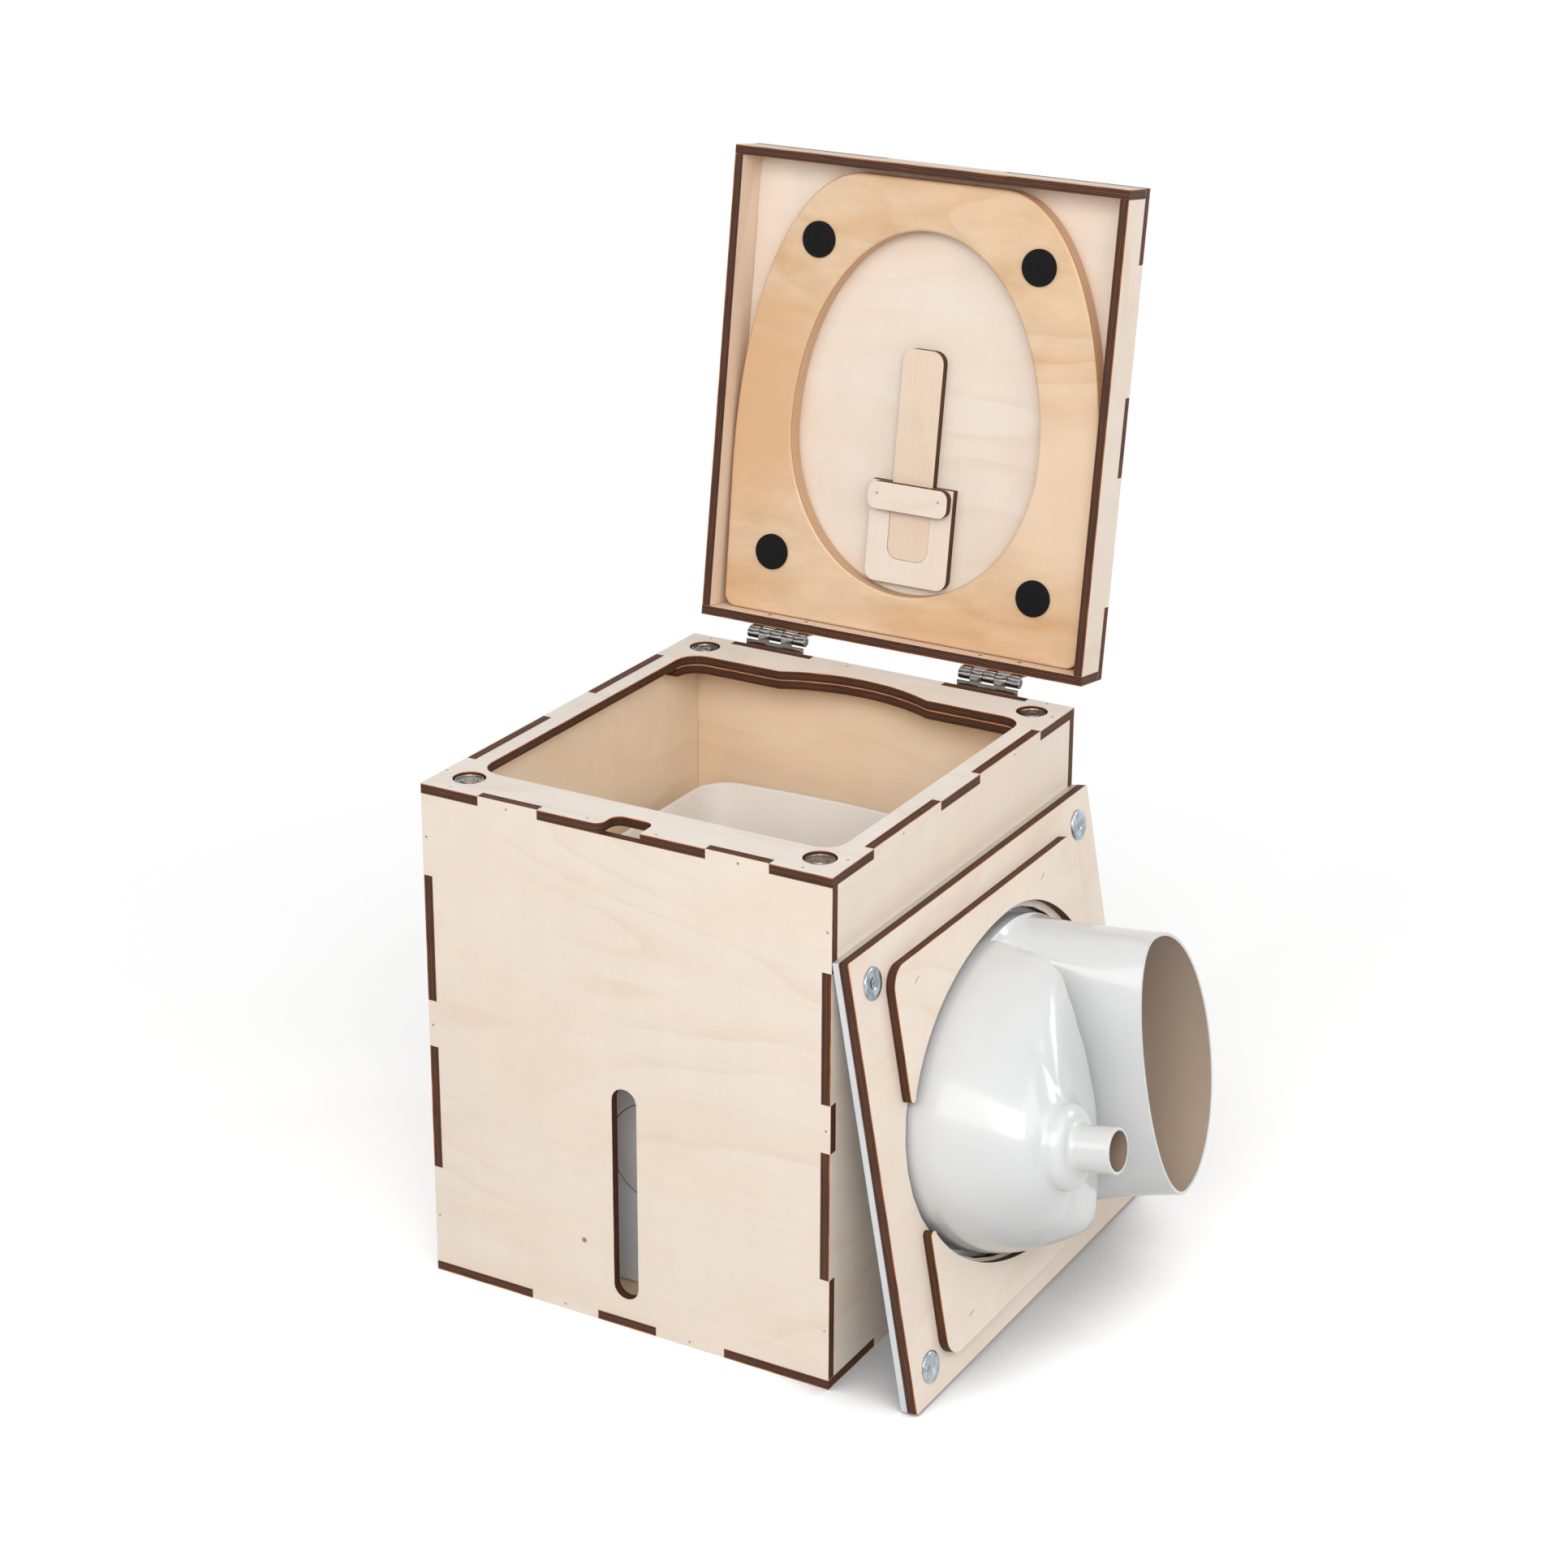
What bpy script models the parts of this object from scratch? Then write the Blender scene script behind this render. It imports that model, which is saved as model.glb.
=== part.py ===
"""A separating dry toilet: a finger-jointed plywood box with a solids bucket and a urine canister in it, a
hinged lid that stores the seat and a slat, and a separator plate with its bowl that leans on the box.

Metres, +Z up. The origin is on the floor under the middle of the box, whose front faces -Y. The lid is drawn
closed and turned open about its hinge pins. The separator is drawn flat, in its own frame: X along its front
to back length, Y across its width and Z down into the box, away from its white face.
"""

import math

import bmesh
import bpy
from mathutils import Matrix, Vector
from mathutils.geometry import delaunay_2d_cdt

# Plywood and fits
ply = 0.0085  # every board but the separator's
gap = 0.0003  # between pieces that touch
overrun = 0.002  # how far a cutter runs past what it cuts
nearness = 0.000001  # corners closer than this are one

# Box
box_width = 0.390
box_depth = 0.4344
box_height = 0.4562

# Finger joints, in shares of the edge: tabs lie in pairs about its middle, with a bare stretch between the two
front_top_tab_share = 0.15
front_top_bare_share = 0.409
back_top_tab_share = 0.2128
back_top_bare_share = 0.3462
side_top_tab_share = 0.2647
side_top_bare_share = 0.1611
front_base_tab_share = 0.1718
front_base_bare_share = 0.1472
side_base_tab_share = 0.2394
side_base_bare_share = 0.1611
upright_tab_share = 0.2521
upright_bare_share = 0.0943
upright_middle_share = 0.5206  # height of the middle of that stretch

# Mouth in the top panel
side_rail = 0.024
front_rail = 0.0477
back_rail = 0.0497
mouth_corner = 0.020
bay_half_width = 0.075  # the mouth's rear edge bulges here, behind the bowl
bay_rise = 0.0178

# Finger notch in the front edge of the top panel
notch_half_width = 0.019
notch_depth = 0.024
notch_corner = 0.009
notch_flare = 0.008  # rounding of the notch's left entry

# Sight slot in the front panel
slot_width = 0.0242
slot_low = 0.0273
slot_high = 0.2240

# Magnets and the wood under them
magnet_inset_side = 0.028
magnet_inset_front = 0.0302
magnet_inset_back = 0.0272
magnet_seat_diameter = 0.0284
magnet_diameter = 0.025
magnet_sunk = 0.0015
magnet_rim = 0.0018
magnet_dish = 0.0008
block_width = 0.058
block_depth = 0.034

# Countersunk screws
screw_shank_diameter = 0.0034
screw_head_diameter = 0.0070
screw_head_height = 0.0014
screw_clearance = 0.0003
magnet_screw_length = 0.0125
strike_screw_length = 0.0090
hinge_screw_length = 0.0100

# Hinges
knuckle_length = 0.012
knuckle_count = 5
barrel_diameter = 0.010
pin_diameter = 0.0040
pin_play = 0.0003
leaf_thickness = 0.0016
leaf_reach = 0.0272  # from the pin to the leaf's free edge
leaf_start = 0.0051  # from the pin to the plain leaf
leaf_corner = 0.003
tongue_inset = 0.0006  # a tongue is this much narrower than its knuckle on each side
pin_behind_box = 0.0064
pin_above_box = 0.0098
hinge_screw_spread = 0.0195
hinge_screw_drop = 0.0165  # from the pin

# Lid
lid_height = 0.0427
lid_lift = 0.0153  # closed, its rim stands this far over the box, on the separator
lid_side_tab_share = 0.267
lid_side_bare_share = 0.1625
lid_end_tab_share = 0.3
lid_opening = math.radians(98.57)

# Seat, stored in the lid with its underside outwards; V runs from the hinge side to the free side
seat_thickness = 0.018
seat_round = 0.003
seat_hinge_edge = 0.0003  # from the lid's hinge-side wall
seat_free_edge = 0.0050  # from the lid's free-side wall
seat_side_edge = 0.0025  # from the lid's side walls
seat_foot_draw = 0.0025  # narrower than that at its hinge side
seat_corner = 0.012
seat_straight_share = 0.3426  # of its length, where the sides start to curve in
seat_bend_share = 0.7746
seat_nose_bend_share = 0.6995  # of its half width
seat_nose_share = 0.3804
seat_rim_side = 0.0595  # from the seat's edges to its hole
seat_rim_low = 0.0382
seat_rim_high = 0.0449
seat_hole_middle_share = 0.4347
buffer_diameter = 0.033
buffer_thickness = 0.0025
buffer_round = 0.0008
buffer_low = (0.0503, 0.0580)  # from the seat's side, and from its hinge edge
buffer_high = (0.0740, 0.0635)  # from the seat's side, and from its free edge

# Slat and its holder on the inside of the lid, in the seat's hole
holder_half_width = 0.0415
holder_from_hole = 0.0085
holder_length = 0.0925
holder_corner = 0.010
pocket_rim = 0.0225
bar_inset = 0.0015
bar_length = 0.025
bar_corner = 0.008
slat_half_width = 0.0203
slat_length = 0.192
slat_corner = 0.011
slat_thickness = 0.0082

# Solids bucket
bucket_side_room = 0.0455  # from the box's side panels
bucket_back_room = 0.0487
bucket_play = 0.005  # from the canister
bucket_bow = 0.006
bucket_corner = 0.034
bucket_height = 0.3342
bucket_wall = 0.002
bucket_draft = 0.012
bucket_foot_round = 0.012
bucket_lip = 0.0025
bucket_lip_drop = 0.005

# Urine canister
canister_side_room = 0.0515  # from the box's side panels
canister_front_room = 0.0414
canister_depth = 0.1273
canister_corner = 0.020
canister_height = 0.278
canister_wall = 0.002
canister_round = 0.016
canister_floor_round = 0.007
neck_bore = 0.050
neck_wall = 0.0025
neck_height = 0.026
neck_bead = 0.002
neck_bead_height = 0.004
grip_side_room = 0.010  # from the can's side
grip_neck_room = 0.0235  # from the neck
grip_thickness = 0.014
grip_height = 0.024

# Separator plate
sheet_thickness = 0.0054
board_thickness = 0.0090
plate_corner = 0.0015
plate_lean = math.radians(10.0)
ring_clearance = 0.001  # round the ring, in the box's mouth
ring_tip = 0.008  # width of the ring's two free ends
strike_diameter = 0.0270
strike_thickness = 0.0018
strike_edge = 0.0004

# Bowl: two half ellipses make its egg, and shares of the egg's length give the places along it
egg_front_lap = 0.0057  # over the front edge of the box's mouth
egg_back_room = 0.0027  # from the mouth's other edges
egg_side_room = 0.029
egg_middle_share = 0.597
ring_egg_room = 0.005
ring_egg_front_room = 0.004
ring_back_width = 0.0115
bowl_wall = 0.003
bowl_hole_play = 0.001
flange_width = 0.012
basin_depth = 0.024  # from the plate's white face to the outside of the basin's floor
basin_round = 0.002
ledge = 0.003  # between the basin's side and the urine funnel and the solids chute
plan_blend = 0.016  # rounding where the egg turns into their straight sides
funnel_end_share = 0.5059  # the urine funnel's straight rear side
funnel_depth = 0.121
funnel_fall_share = 0.30  # how fast its shelf drops away from the collar
flank_length = 0.085  # longest slope between the egg and the shelf
flank_power = 1.7
rear_rise_share = 9.0
ridge_blend = 0.014
collar_radius = 0.036
collar_shoulder = 0.007
collar_depth = 0.133
tube_middle_share = 0.2088
tube_diameter = 0.038
tube_wall = 0.0025
tube_start = 0.140
tube_depth = 0.168
chute_start_share = 0.5206
chute_middle_share = 0.7529
chute_mouth_front_share = 0.5574
chute_mouth_widest_share = 0.7044
chute_mouth_back_share = 0.9485
chute_mouth_draw = 0.026  # narrower than the egg, on each side
chute_depth = 0.138
chute_taper_power = 0.5

# Facets
corner_steps = 5
round_steps = 20
screw_steps = 10
egg_steps = 40
funnel_shares = (1, 0.95, 0.9, 0.85, 0.79, 0.7, 0.5, 0.25, 0)
chute_shares = (0, 0.08, 0.2, 0.45, 0.75, 1)

half_width = box_width / 2
half_depth = box_depth / 2
hinge_middle = box_width * (back_top_bare_share + back_top_tab_share) / 2  # over the back panel's tabs
pin_place = Vector((0, half_depth + pin_behind_box, box_height + pin_above_box))
rim_height = box_height + lid_lift
white_to_board = sheet_thickness + gap
board_face = white_to_board + board_thickness
ring_start = board_face + gap
seat_half_width = half_width - ply - seat_side_edge
seat_low = ply + seat_hinge_edge
seat_high = box_depth - ply - seat_free_edge
seat_hole_low = seat_low + seat_rim_low
seat_hole_high = seat_high - seat_rim_high
seat_hole_middle = seat_hole_low + (seat_hole_high - seat_hole_low) * seat_hole_middle_share
holder_low = seat_hole_low + holder_from_hole
holder_high = holder_low + holder_length
pocket_low = holder_low + pocket_rim
canister_half_width = half_width - ply - canister_side_room
canister_front = canister_front_room + ply - half_depth
canister_back = canister_front + canister_depth
grip_start = neck_bore / 2 + neck_wall + grip_neck_room
grip_end = canister_half_width - grip_side_room
bucket_half_width = half_width - ply - bucket_side_room
bucket_front = canister_back + bucket_play
bucket_back = half_depth - ply - bucket_back_room
egg_front = front_rail - egg_front_lap
egg_back = box_depth - back_rail - egg_back_room
egg_half_width = half_width - side_rail - egg_side_room


def along_bowl(share):
    return egg_front + (egg_back - egg_front) * share


tube_across = half_width
tube_middle = along_bowl(tube_middle_share)
funnel_end = along_bowl(funnel_end_share)
chute_start = along_bowl(chute_start_share)
chute_middle = along_bowl(chute_middle_share)
egg_middle = along_bowl(egg_middle_share)
bowl_egg = (egg_front, egg_middle, egg_back, egg_half_width)
chute_mouth = (
    along_bowl(chute_mouth_front_share),
    along_bowl(chute_mouth_widest_share),
    along_bowl(chute_mouth_back_share),
    egg_half_width - chute_mouth_draw,
)
X, Y, Z = Vector((1, 0, 0)), Vector((0, 1, 0)), Vector((0, 0, 1))

colours = {
    "birch": ((0.84, 0.73, 0.60), 0.55, 0.0),
    "seat_birch": ((0.80, 0.60, 0.38), 0.45, 0.0),
    "white_laminate": ((0.88, 0.90, 0.93), 0.35, 0.0),
    "zinc": ((0.56, 0.60, 0.63), 0.35, 1.0),
    "chrome": ((0.70, 0.70, 0.70), 0.2, 1.0),
    "rubber": ((0.02, 0.02, 0.02), 0.8, 0.0),
    "grey_plastic": ((0.77, 0.78, 0.76), 0.25, 0.0),
    "bucket_plastic": ((0.80, 0.76, 0.70), 0.45, 0.0),
    "canister_plastic": ((0.72, 0.76, 0.84), 0.4, 0.0),
}


def make_materials():
    for name, (colour, roughness, metallic) in colours.items():
        made = bpy.data.materials.new(name)
        made.use_nodes = True
        shader = made.node_tree.nodes["Principled BSDF"]
        shader.inputs["Base Color"].default_value = (*colour, 1)
        shader.inputs["Roughness"].default_value = roughness
        shader.inputs["Metallic"].default_value = metallic


# Placing


def axes_at(origin, x_axis, y_axis):
    """The matrix of a frame with these two axes, its Z square to both."""
    z_axis = x_axis.cross(y_axis)
    turn = Matrix((x_axis, y_axis, z_axis)).transposed().to_4x4()
    return Matrix.Translation(origin) @ turn


def empty(name, placing):
    made = bpy.data.objects.new(name, None)
    bpy.context.scene.collection.objects.link(made)
    made.matrix_world = placing
    return made


def add(name, body, material, placing, parent=None, smooth_below=30):
    """A named object from a bmesh, placed in its parent's frame."""
    bmesh.ops.recalc_face_normals(body, faces=body.faces)
    mesh = bpy.data.meshes.new(name)
    body.to_mesh(mesh)
    body.free()
    mesh.shade_smooth()
    mesh.set_sharp_from_angle(angle=math.radians(smooth_below))
    mesh.materials.append(bpy.data.materials[material])
    made = bpy.data.objects.new(name, mesh)
    bpy.context.scene.collection.objects.link(made)
    made.parent = parent
    made.matrix_local = placing
    return made


def combine(target, other, operation):
    """Joins another object to the target, or cuts it away, and leaves it as a guide."""
    other.hide_render = True
    other.display_type = "WIRE"
    step = target.modifiers.new(other.name, "BOOLEAN")
    step.operation = operation
    step.object = other


# Outlines


def arc(centre, radius, start, end, steps=corner_steps):
    """Points round a centre from one angle to another, in degrees."""
    turns = [math.radians(start + (end - start) * step / steps) for step in range(steps + 1)]
    return [(centre[0] + radius * math.cos(turn), centre[1] + radius * math.sin(turn)) for turn in turns]


def circle(centre, diameter, steps=round_steps):
    return arc(centre, diameter / 2, 0, 360, steps)[:-1]


def rectangle(left, right, low, high):
    return [(left, low), (right, low), (right, high), (left, high)]


def rounded(left, right, low, high, radius, steps=corner_steps):
    """A rectangle with four round corners, anticlockwise from its lower right one."""
    corners = (
        (right - radius, low + radius, -90),
        (right - radius, high - radius, 0),
        (left + radius, high - radius, 90),
        (left + radius, low + radius, 180),
    )
    return [point for x, y, start in corners for point in arc((x, y), radius, start, start + 90, steps)]


def oval_arc(middle, half_length, half_across, start, end, steps):
    """Points on an oval about a middle on the X axis, from one angle to another, in degrees."""
    turns = [math.radians(start + (end - start) * step / steps) for step in range(steps + 1)]
    return [(middle + half_length * math.cos(turn), half_across * math.sin(turn)) for turn in turns]


def egg(front, middle, back, half_across, steps=egg_steps):
    """An egg about the X axis, its widest place at the middle."""
    rear = oval_arc(middle, back - middle, half_across, -90, 90, steps // 2)
    return rear[:-1] + oval_arc(middle, middle - front, half_across, 90, 270, steps // 2)[:-1]


def moved(points, x=0, y=0):
    return [(px + x, py + y) for px, py in points]


def grown(points, distance):
    """The anticlockwise outline with every point moved outwards by a distance."""
    made = []
    for index, here in enumerate(points):
        before, after = Vector(points[index - 1]), Vector(points[(index + 1) % len(points)])
        along = (after - before).normalized()
        made.append((here[0] + along.y * distance, here[1] - along.x * distance))
    return made


def pair(edge, tab_share, bare_share, middle=0):
    """The middles and the length of an edge's two tabs, on either side of a bare stretch."""
    tab = edge * tab_share
    reach = (edge * bare_share + tab) / 2
    return [(middle - reach, tab), (middle + reach, tab)]


def uprights():
    """The tabs of the box's four upright corners."""
    return pair(box_height, upright_tab_share, upright_bare_share, box_height * upright_middle_share)


def front_top():
    return pair(box_width, front_top_tab_share, front_top_bare_share)


def back_top():
    return pair(box_width, back_top_tab_share, back_top_bare_share)


def side_top():
    return pair(box_depth, side_top_tab_share, side_top_bare_share)


def end_base():
    return pair(box_width, front_base_tab_share, front_base_bare_share)


def side_base():
    return pair(box_depth, side_base_tab_share, side_base_bare_share)


def lid_side():
    return pair(box_depth, lid_side_tab_share, lid_side_bare_share)


def lid_end():
    return [(0, box_width * lid_end_tab_share)]


def tabs(places, out):
    """Tabs that stand out of an edge by a depth, a little short of the notches they enter."""
    return [(middle, length - gap, out) for middle, length in places]


def notches(places):
    """Notches that take another board's tabs."""
    return [(middle, length + gap, -ply - gap) for middle, length in places]


def stepped(start, end, spans):
    """Points along a straight edge, moved outwards (to its right) by each span's step."""
    start, end = Vector(start), Vector(end)
    along = (end - start).normalized()
    outwards = Vector((along.y, -along.x))
    axis = 0 if abs(along.x) > abs(along.y) else 1
    points = [start]
    for middle, length, step in sorted(spans, key=lambda span: span[0] * along[axis]):
        foot = start + along * ((middle - start[axis]) * along[axis])
        for side, first, second in ((-length / 2, 0, step), (length / 2, step, 0)):
            points += [foot + along * side + outwards * first, foot + along * side + outwards * second]
    return [tuple(point) for point in points]


def board(left, right, low, high, below=(), beside_right=(), above=(), beside_left=()):
    """A rectangular board's outline with steps on its four edges."""
    return (
        stepped((left, low), (right, low), below)
        + stepped((right, low), (right, high), beside_right)
        + stepped((right, high), (left, high), above)
        + stepped((left, high), (left, low), beside_left)
    )


# Solids


def is_inside(point, loops):
    """Whether a point is inside an outline and outside its holes."""
    crossings = 0
    for loop in loops:
        for (x1, y1), (x2, y2) in zip(loop, loop[1:] + loop[:1]):
            if (y1 > point.y) != (y2 > point.y) and point.x < x1 + (point.y - y1) * (x2 - x1) / (y2 - y1):
                crossings += 1
    return crossings % 2 == 1


def flat_solid(outline, thickness, holes=()):
    """An outline, less its holes, extruded up from Z = 0."""
    corners, edges = [], []
    for loop in (outline, *holes):
        start = len(corners)
        corners += [Vector(point) for point in loop]
        edges += [(start + index, start + (index + 1) % len(loop)) for index in range(len(loop))]
    # The triangles cover the whole hull, so those in the notches and holes are left out.
    corners, _, triangles, *_ = delaunay_2d_cdt(corners, edges, [], 0, nearness)
    body = bmesh.new()
    verts = [body.verts.new((*corner, 0)) for corner in corners]
    for triangle in triangles:
        middle = (corners[triangle[0]] + corners[triangle[1]] + corners[triangle[2]]) / 3
        if is_inside(middle, (outline, *holes)):
            body.faces.new([verts[index] for index in triangle])
    bmesh.ops.recalc_face_normals(body, faces=body.faces)
    made = bmesh.ops.extrude_face_region(body, geom=body.faces[:])
    raised = [item for item in made["geom"] if isinstance(item, bmesh.types.BMVert)]
    bmesh.ops.translate(body, verts=raised, vec=(0, 0, thickness))
    return body


def skin(rings):
    """A closed solid through rings of equal counts of points, capped at both ends."""
    body = bmesh.new()
    loops = [[body.verts.new(point) for point in ring] for ring in rings]
    for lower, upper in zip(loops, loops[1:]):
        for index in range(len(lower)):
            body.faces.new((lower[index - 1], lower[index], upper[index], upper[index - 1]))
    body.faces.new(loops[0][::-1])
    body.faces.new(loops[-1])
    return body


def raise_ring(outline, height):
    return [(x, y, height) for x, y in outline]


def turned(profile, steps=round_steps):
    """A solid turned about Z from (radius, height) points that start and end on the axis."""
    body = bmesh.new()
    ends = (body.verts.new((0, 0, profile[0][1])), body.verts.new((0, 0, profile[-1][1])))
    loops = []
    for radius, height in profile[1:-1]:
        loops.append([body.verts.new(point) for point in raise_ring(circle((0, 0), 2 * radius, steps), height)])
    for lower, upper in zip(loops, loops[1:]):
        for index in range(steps):
            body.faces.new((lower[index - 1], lower[index], upper[index], upper[index - 1]))
    for end, loop in zip(ends, (loops[0], loops[-1])):
        for index in range(steps):
            body.faces.new((end, loop[index - 1], loop[index]))
    return body


def turned_ring(profile, steps=round_steps):
    """A ring turned about Z from a closed profile of (radius, height) points."""
    body = bmesh.new()
    loops = []
    for radius, height in profile:
        loops.append([body.verts.new(point) for point in raise_ring(circle((0, 0), 2 * radius, steps), height)])
    for lower, upper in zip(loops, loops[1:] + loops[:1]):
        for index in range(steps):
            body.faces.new((lower[index - 1], lower[index], upper[index], upper[index - 1]))
    return body


def screw(name, length, placing, parent=None):
    """A countersunk screw, its head's top on Z = 0 and its shank down -Z."""
    head, shank = screw_head_diameter / 2, screw_shank_diameter / 2
    profile = [
        (0, 0),
        (head, 0),
        (shank, -screw_head_height),
        (shank, shank - length),
        (0, -length),
    ]
    return add(name, turned(profile, screw_steps), "zinc", placing, parent)


def screw_hole(centre):
    return circle(centre, screw_shank_diameter + 2 * screw_clearance, screw_steps)


def screw_room(depth):
    """What a countersunk screw takes out of a sheet of this depth, whose face is at Z = 0."""
    wide = screw_head_diameter / 2 + screw_clearance
    narrow = screw_shank_diameter / 2 + screw_clearance
    draft_share = (wide - narrow) / screw_head_height
    profile = [
        (0, overrun),
        (wide + overrun * draft_share, overrun),
        (narrow, -screw_head_height),
        (narrow, -depth - overrun),
        (0, -depth - overrun),
    ]
    return turned(profile, screw_steps)


# Box


def mouth(clearance=0):
    """The box's mouth seen from above, or with a clearance what fits into it."""
    side = half_width - side_rail - clearance
    front = front_rail + clearance - half_depth
    back = half_depth - back_rail - clearance
    corner = mouth_corner - clearance
    points = rounded(-side, side, front, back, corner)
    # The four corners follow one another, and the bay's arc comes between the two rear ones.
    cut = 2 * (corner_steps + 1)
    bay_radius = (bay_half_width**2 + bay_rise**2) / (2 * bay_rise)
    spread = math.degrees(math.asin(bay_half_width / bay_radius))
    bay_middle = (0, back + bay_rise - bay_radius)
    return points[:cut] + arc(bay_middle, bay_radius, 90 - spread, 90 + spread, 2 * corner_steps) + points[cut:]


def notch():
    """The finger notch's points along the front edge, from left to right."""
    front, inner = -half_depth, notch_depth - half_depth
    left, right = -notch_half_width, notch_half_width
    flare = arc((left - notch_flare, front + notch_flare), notch_flare, -90, 0)
    return (
        flare
        + arc((left + notch_corner, inner - notch_corner), notch_corner, 180, 90)
        + arc((right - notch_corner, inner - notch_corner), notch_corner, 90, 0)
        + [(right, front)]
    )


def magnet_places():
    side = half_width - magnet_inset_side
    front = magnet_inset_front - half_depth
    back = half_depth - magnet_inset_back
    return {
        "front_left": (-side, front),
        "front_right": (side, front),
        "back_left": (-side, back),
        "back_right": (side, back),
    }


def top_outline():
    """The top panel, which covers the corners and takes the tabs of the four boards below it."""
    sides = notches(side_top())
    points = board(
        -half_width,
        half_width,
        -half_depth,
        half_depth,
        below=notches(front_top()),
        beside_right=sides,
        above=notches(back_top()),
        beside_left=sides,
    )
    # The outline starts at the front left corner and runs right, so the finger notch comes before this point.
    right = next(index for index, (x, _) in enumerate(points) if x > 0)
    return points[:right] + notch() + points[right:]


def make_top_panel():
    holes = [circle(place, magnet_seat_diameter) for place in magnet_places().values()]
    body = flat_solid(top_outline(), ply, [mouth(), *holes])
    add("top_panel", body, "birch", axes_at((0, 0, box_height - ply), X, Y))


def make_bottom_panel():
    sides = notches(side_base())
    ends = notches(end_base())
    outline = board(-half_width, half_width, -half_depth, half_depth, ends, sides, ends, sides)
    add("bottom_panel", flat_solid(outline, ply), "birch", axes_at((0, 0, 0), X, Y))


def end_panel(name, outer_y, top_places, holes):
    """The front or back panel, as wide as the box, its outer face at a Y."""
    corners = notches(uprights())
    outline = board(
        -half_width,
        half_width,
        ply + gap,
        box_height - ply - gap,
        tabs(end_base(), ply + gap),
        corners,
        tabs(top_places, ply + gap),
        corners,
    )
    inner_y = outer_y + ply if outer_y < 0 else outer_y
    add(name, flat_solid(outline, ply, holes), "birch", axes_at((0, inner_y, 0), X, Z))


def make_front_panel():
    slot = rounded(-slot_width / 2, slot_width / 2, slot_low, slot_high, slot_width / 2)
    end_panel("front_panel", -half_depth, front_top(), [slot])


def hinge_screw_places():
    """X of each hinge screw."""
    return [side * (hinge_middle + away) for side in (-1, 1) for away in (-hinge_screw_spread, hinge_screw_spread)]


def make_back_panel():
    height = box_height + pin_above_box - hinge_screw_drop
    holes = [screw_hole((x, height)) for x in hinge_screw_places()]
    end_panel("back_panel", half_depth, back_top(), holes)


def make_side_panels():
    end = half_depth - ply - gap
    corners = tabs(uprights(), ply + gap)
    outline = board(
        -end,
        end,
        ply + gap,
        box_height - ply - gap,
        tabs(side_base(), ply + gap),
        corners,
        tabs(side_top(), ply + gap),
        corners,
    )
    for name, x in (("left_panel", -half_width), ("right_panel", half_width - ply)):
        add(name, flat_solid(outline, ply), "birch", axes_at((x, 0, 0), Y, Z))


def make_back_batten():
    """The second layer under the mouth's rear edge, which carries the rear magnets' screws."""
    side = half_width - ply - gap
    back = half_depth - ply - gap
    rear_edge = [point for point in mouth() if point[1] > 0]
    front = half_depth - back_rail - mouth_corner
    outline = [(side, front), (side, back), (-side, back), (-side, front)] + rear_edge[::-1]
    holes = [screw_hole(place) for place in magnet_places().values() if place[1] > 0]
    top = box_height - ply - gap
    add("back_batten", flat_solid(outline, ply, holes), "birch", axes_at((0, 0, top - ply), X, Y))


def make_corner_blocks():
    """Two blocks under the front corners of the top panel, for the front magnets' screws."""
    side = half_width - ply - gap
    front = ply + gap - half_depth
    top = box_height - ply - gap
    for name, sign in (("corner_block_left", -1), ("corner_block_right", 1)):
        across = sorted((sign * side, sign * (side - block_width)))
        outline = rectangle(*across, front, front + block_depth)
        place = magnet_places()["front_left" if sign < 0 else "front_right"]
        add(name, flat_solid(outline, ply, [screw_hole(place)]), "birch", axes_at((0, 0, top - ply), X, Y))


def make_magnets():
    """Pot magnets in the top panel, each on the wood below and held by a countersunk screw."""
    radius = magnet_diameter / 2
    height = ply - magnet_sunk
    hole = screw_shank_diameter / 2 + screw_clearance
    head = screw_head_diameter / 2 + screw_clearance
    sink = screw_head_height
    profile = [
        (hole, 0),
        (radius, 0),
        (radius, height),
        (radius - magnet_rim, height),
        (radius - magnet_rim, height - magnet_dish),
        (head, height - magnet_dish),
        (hole, height - magnet_dish - sink),
    ]
    for corner, (x, y) in magnet_places().items():
        low = box_height - ply
        add("magnet_" + corner, turned_ring(profile), "zinc", Matrix.Translation((x, y, low)))
        top = low + height - magnet_dish
        screw("magnet_screw_" + corner, magnet_screw_length, Matrix.Translation((x, y, top)))


# Hinges


def leaf_outline(middle, knuckles):
    """A leaf below its pin, with a tongue up to each of its knuckles, seen from behind the box."""
    half = knuckle_length * knuckle_count / 2
    low, high = -leaf_reach, -leaf_start
    feet = rounded(middle - half, middle + half, low, high, leaf_corner)
    feet = feet[3 * (corner_steps + 1) :] + feet[: corner_steps + 1]
    points = feet + [(middle + half, high)]
    for index in sorted(knuckles, reverse=True):
        left = middle - half + index * knuckle_length + tongue_inset
        right = left + knuckle_length - 2 * tongue_inset
        points += [(right, high), (right, tongue_inset), (left, tongue_inset), (left, high)]
    return points + [(middle - half, high)]


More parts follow.
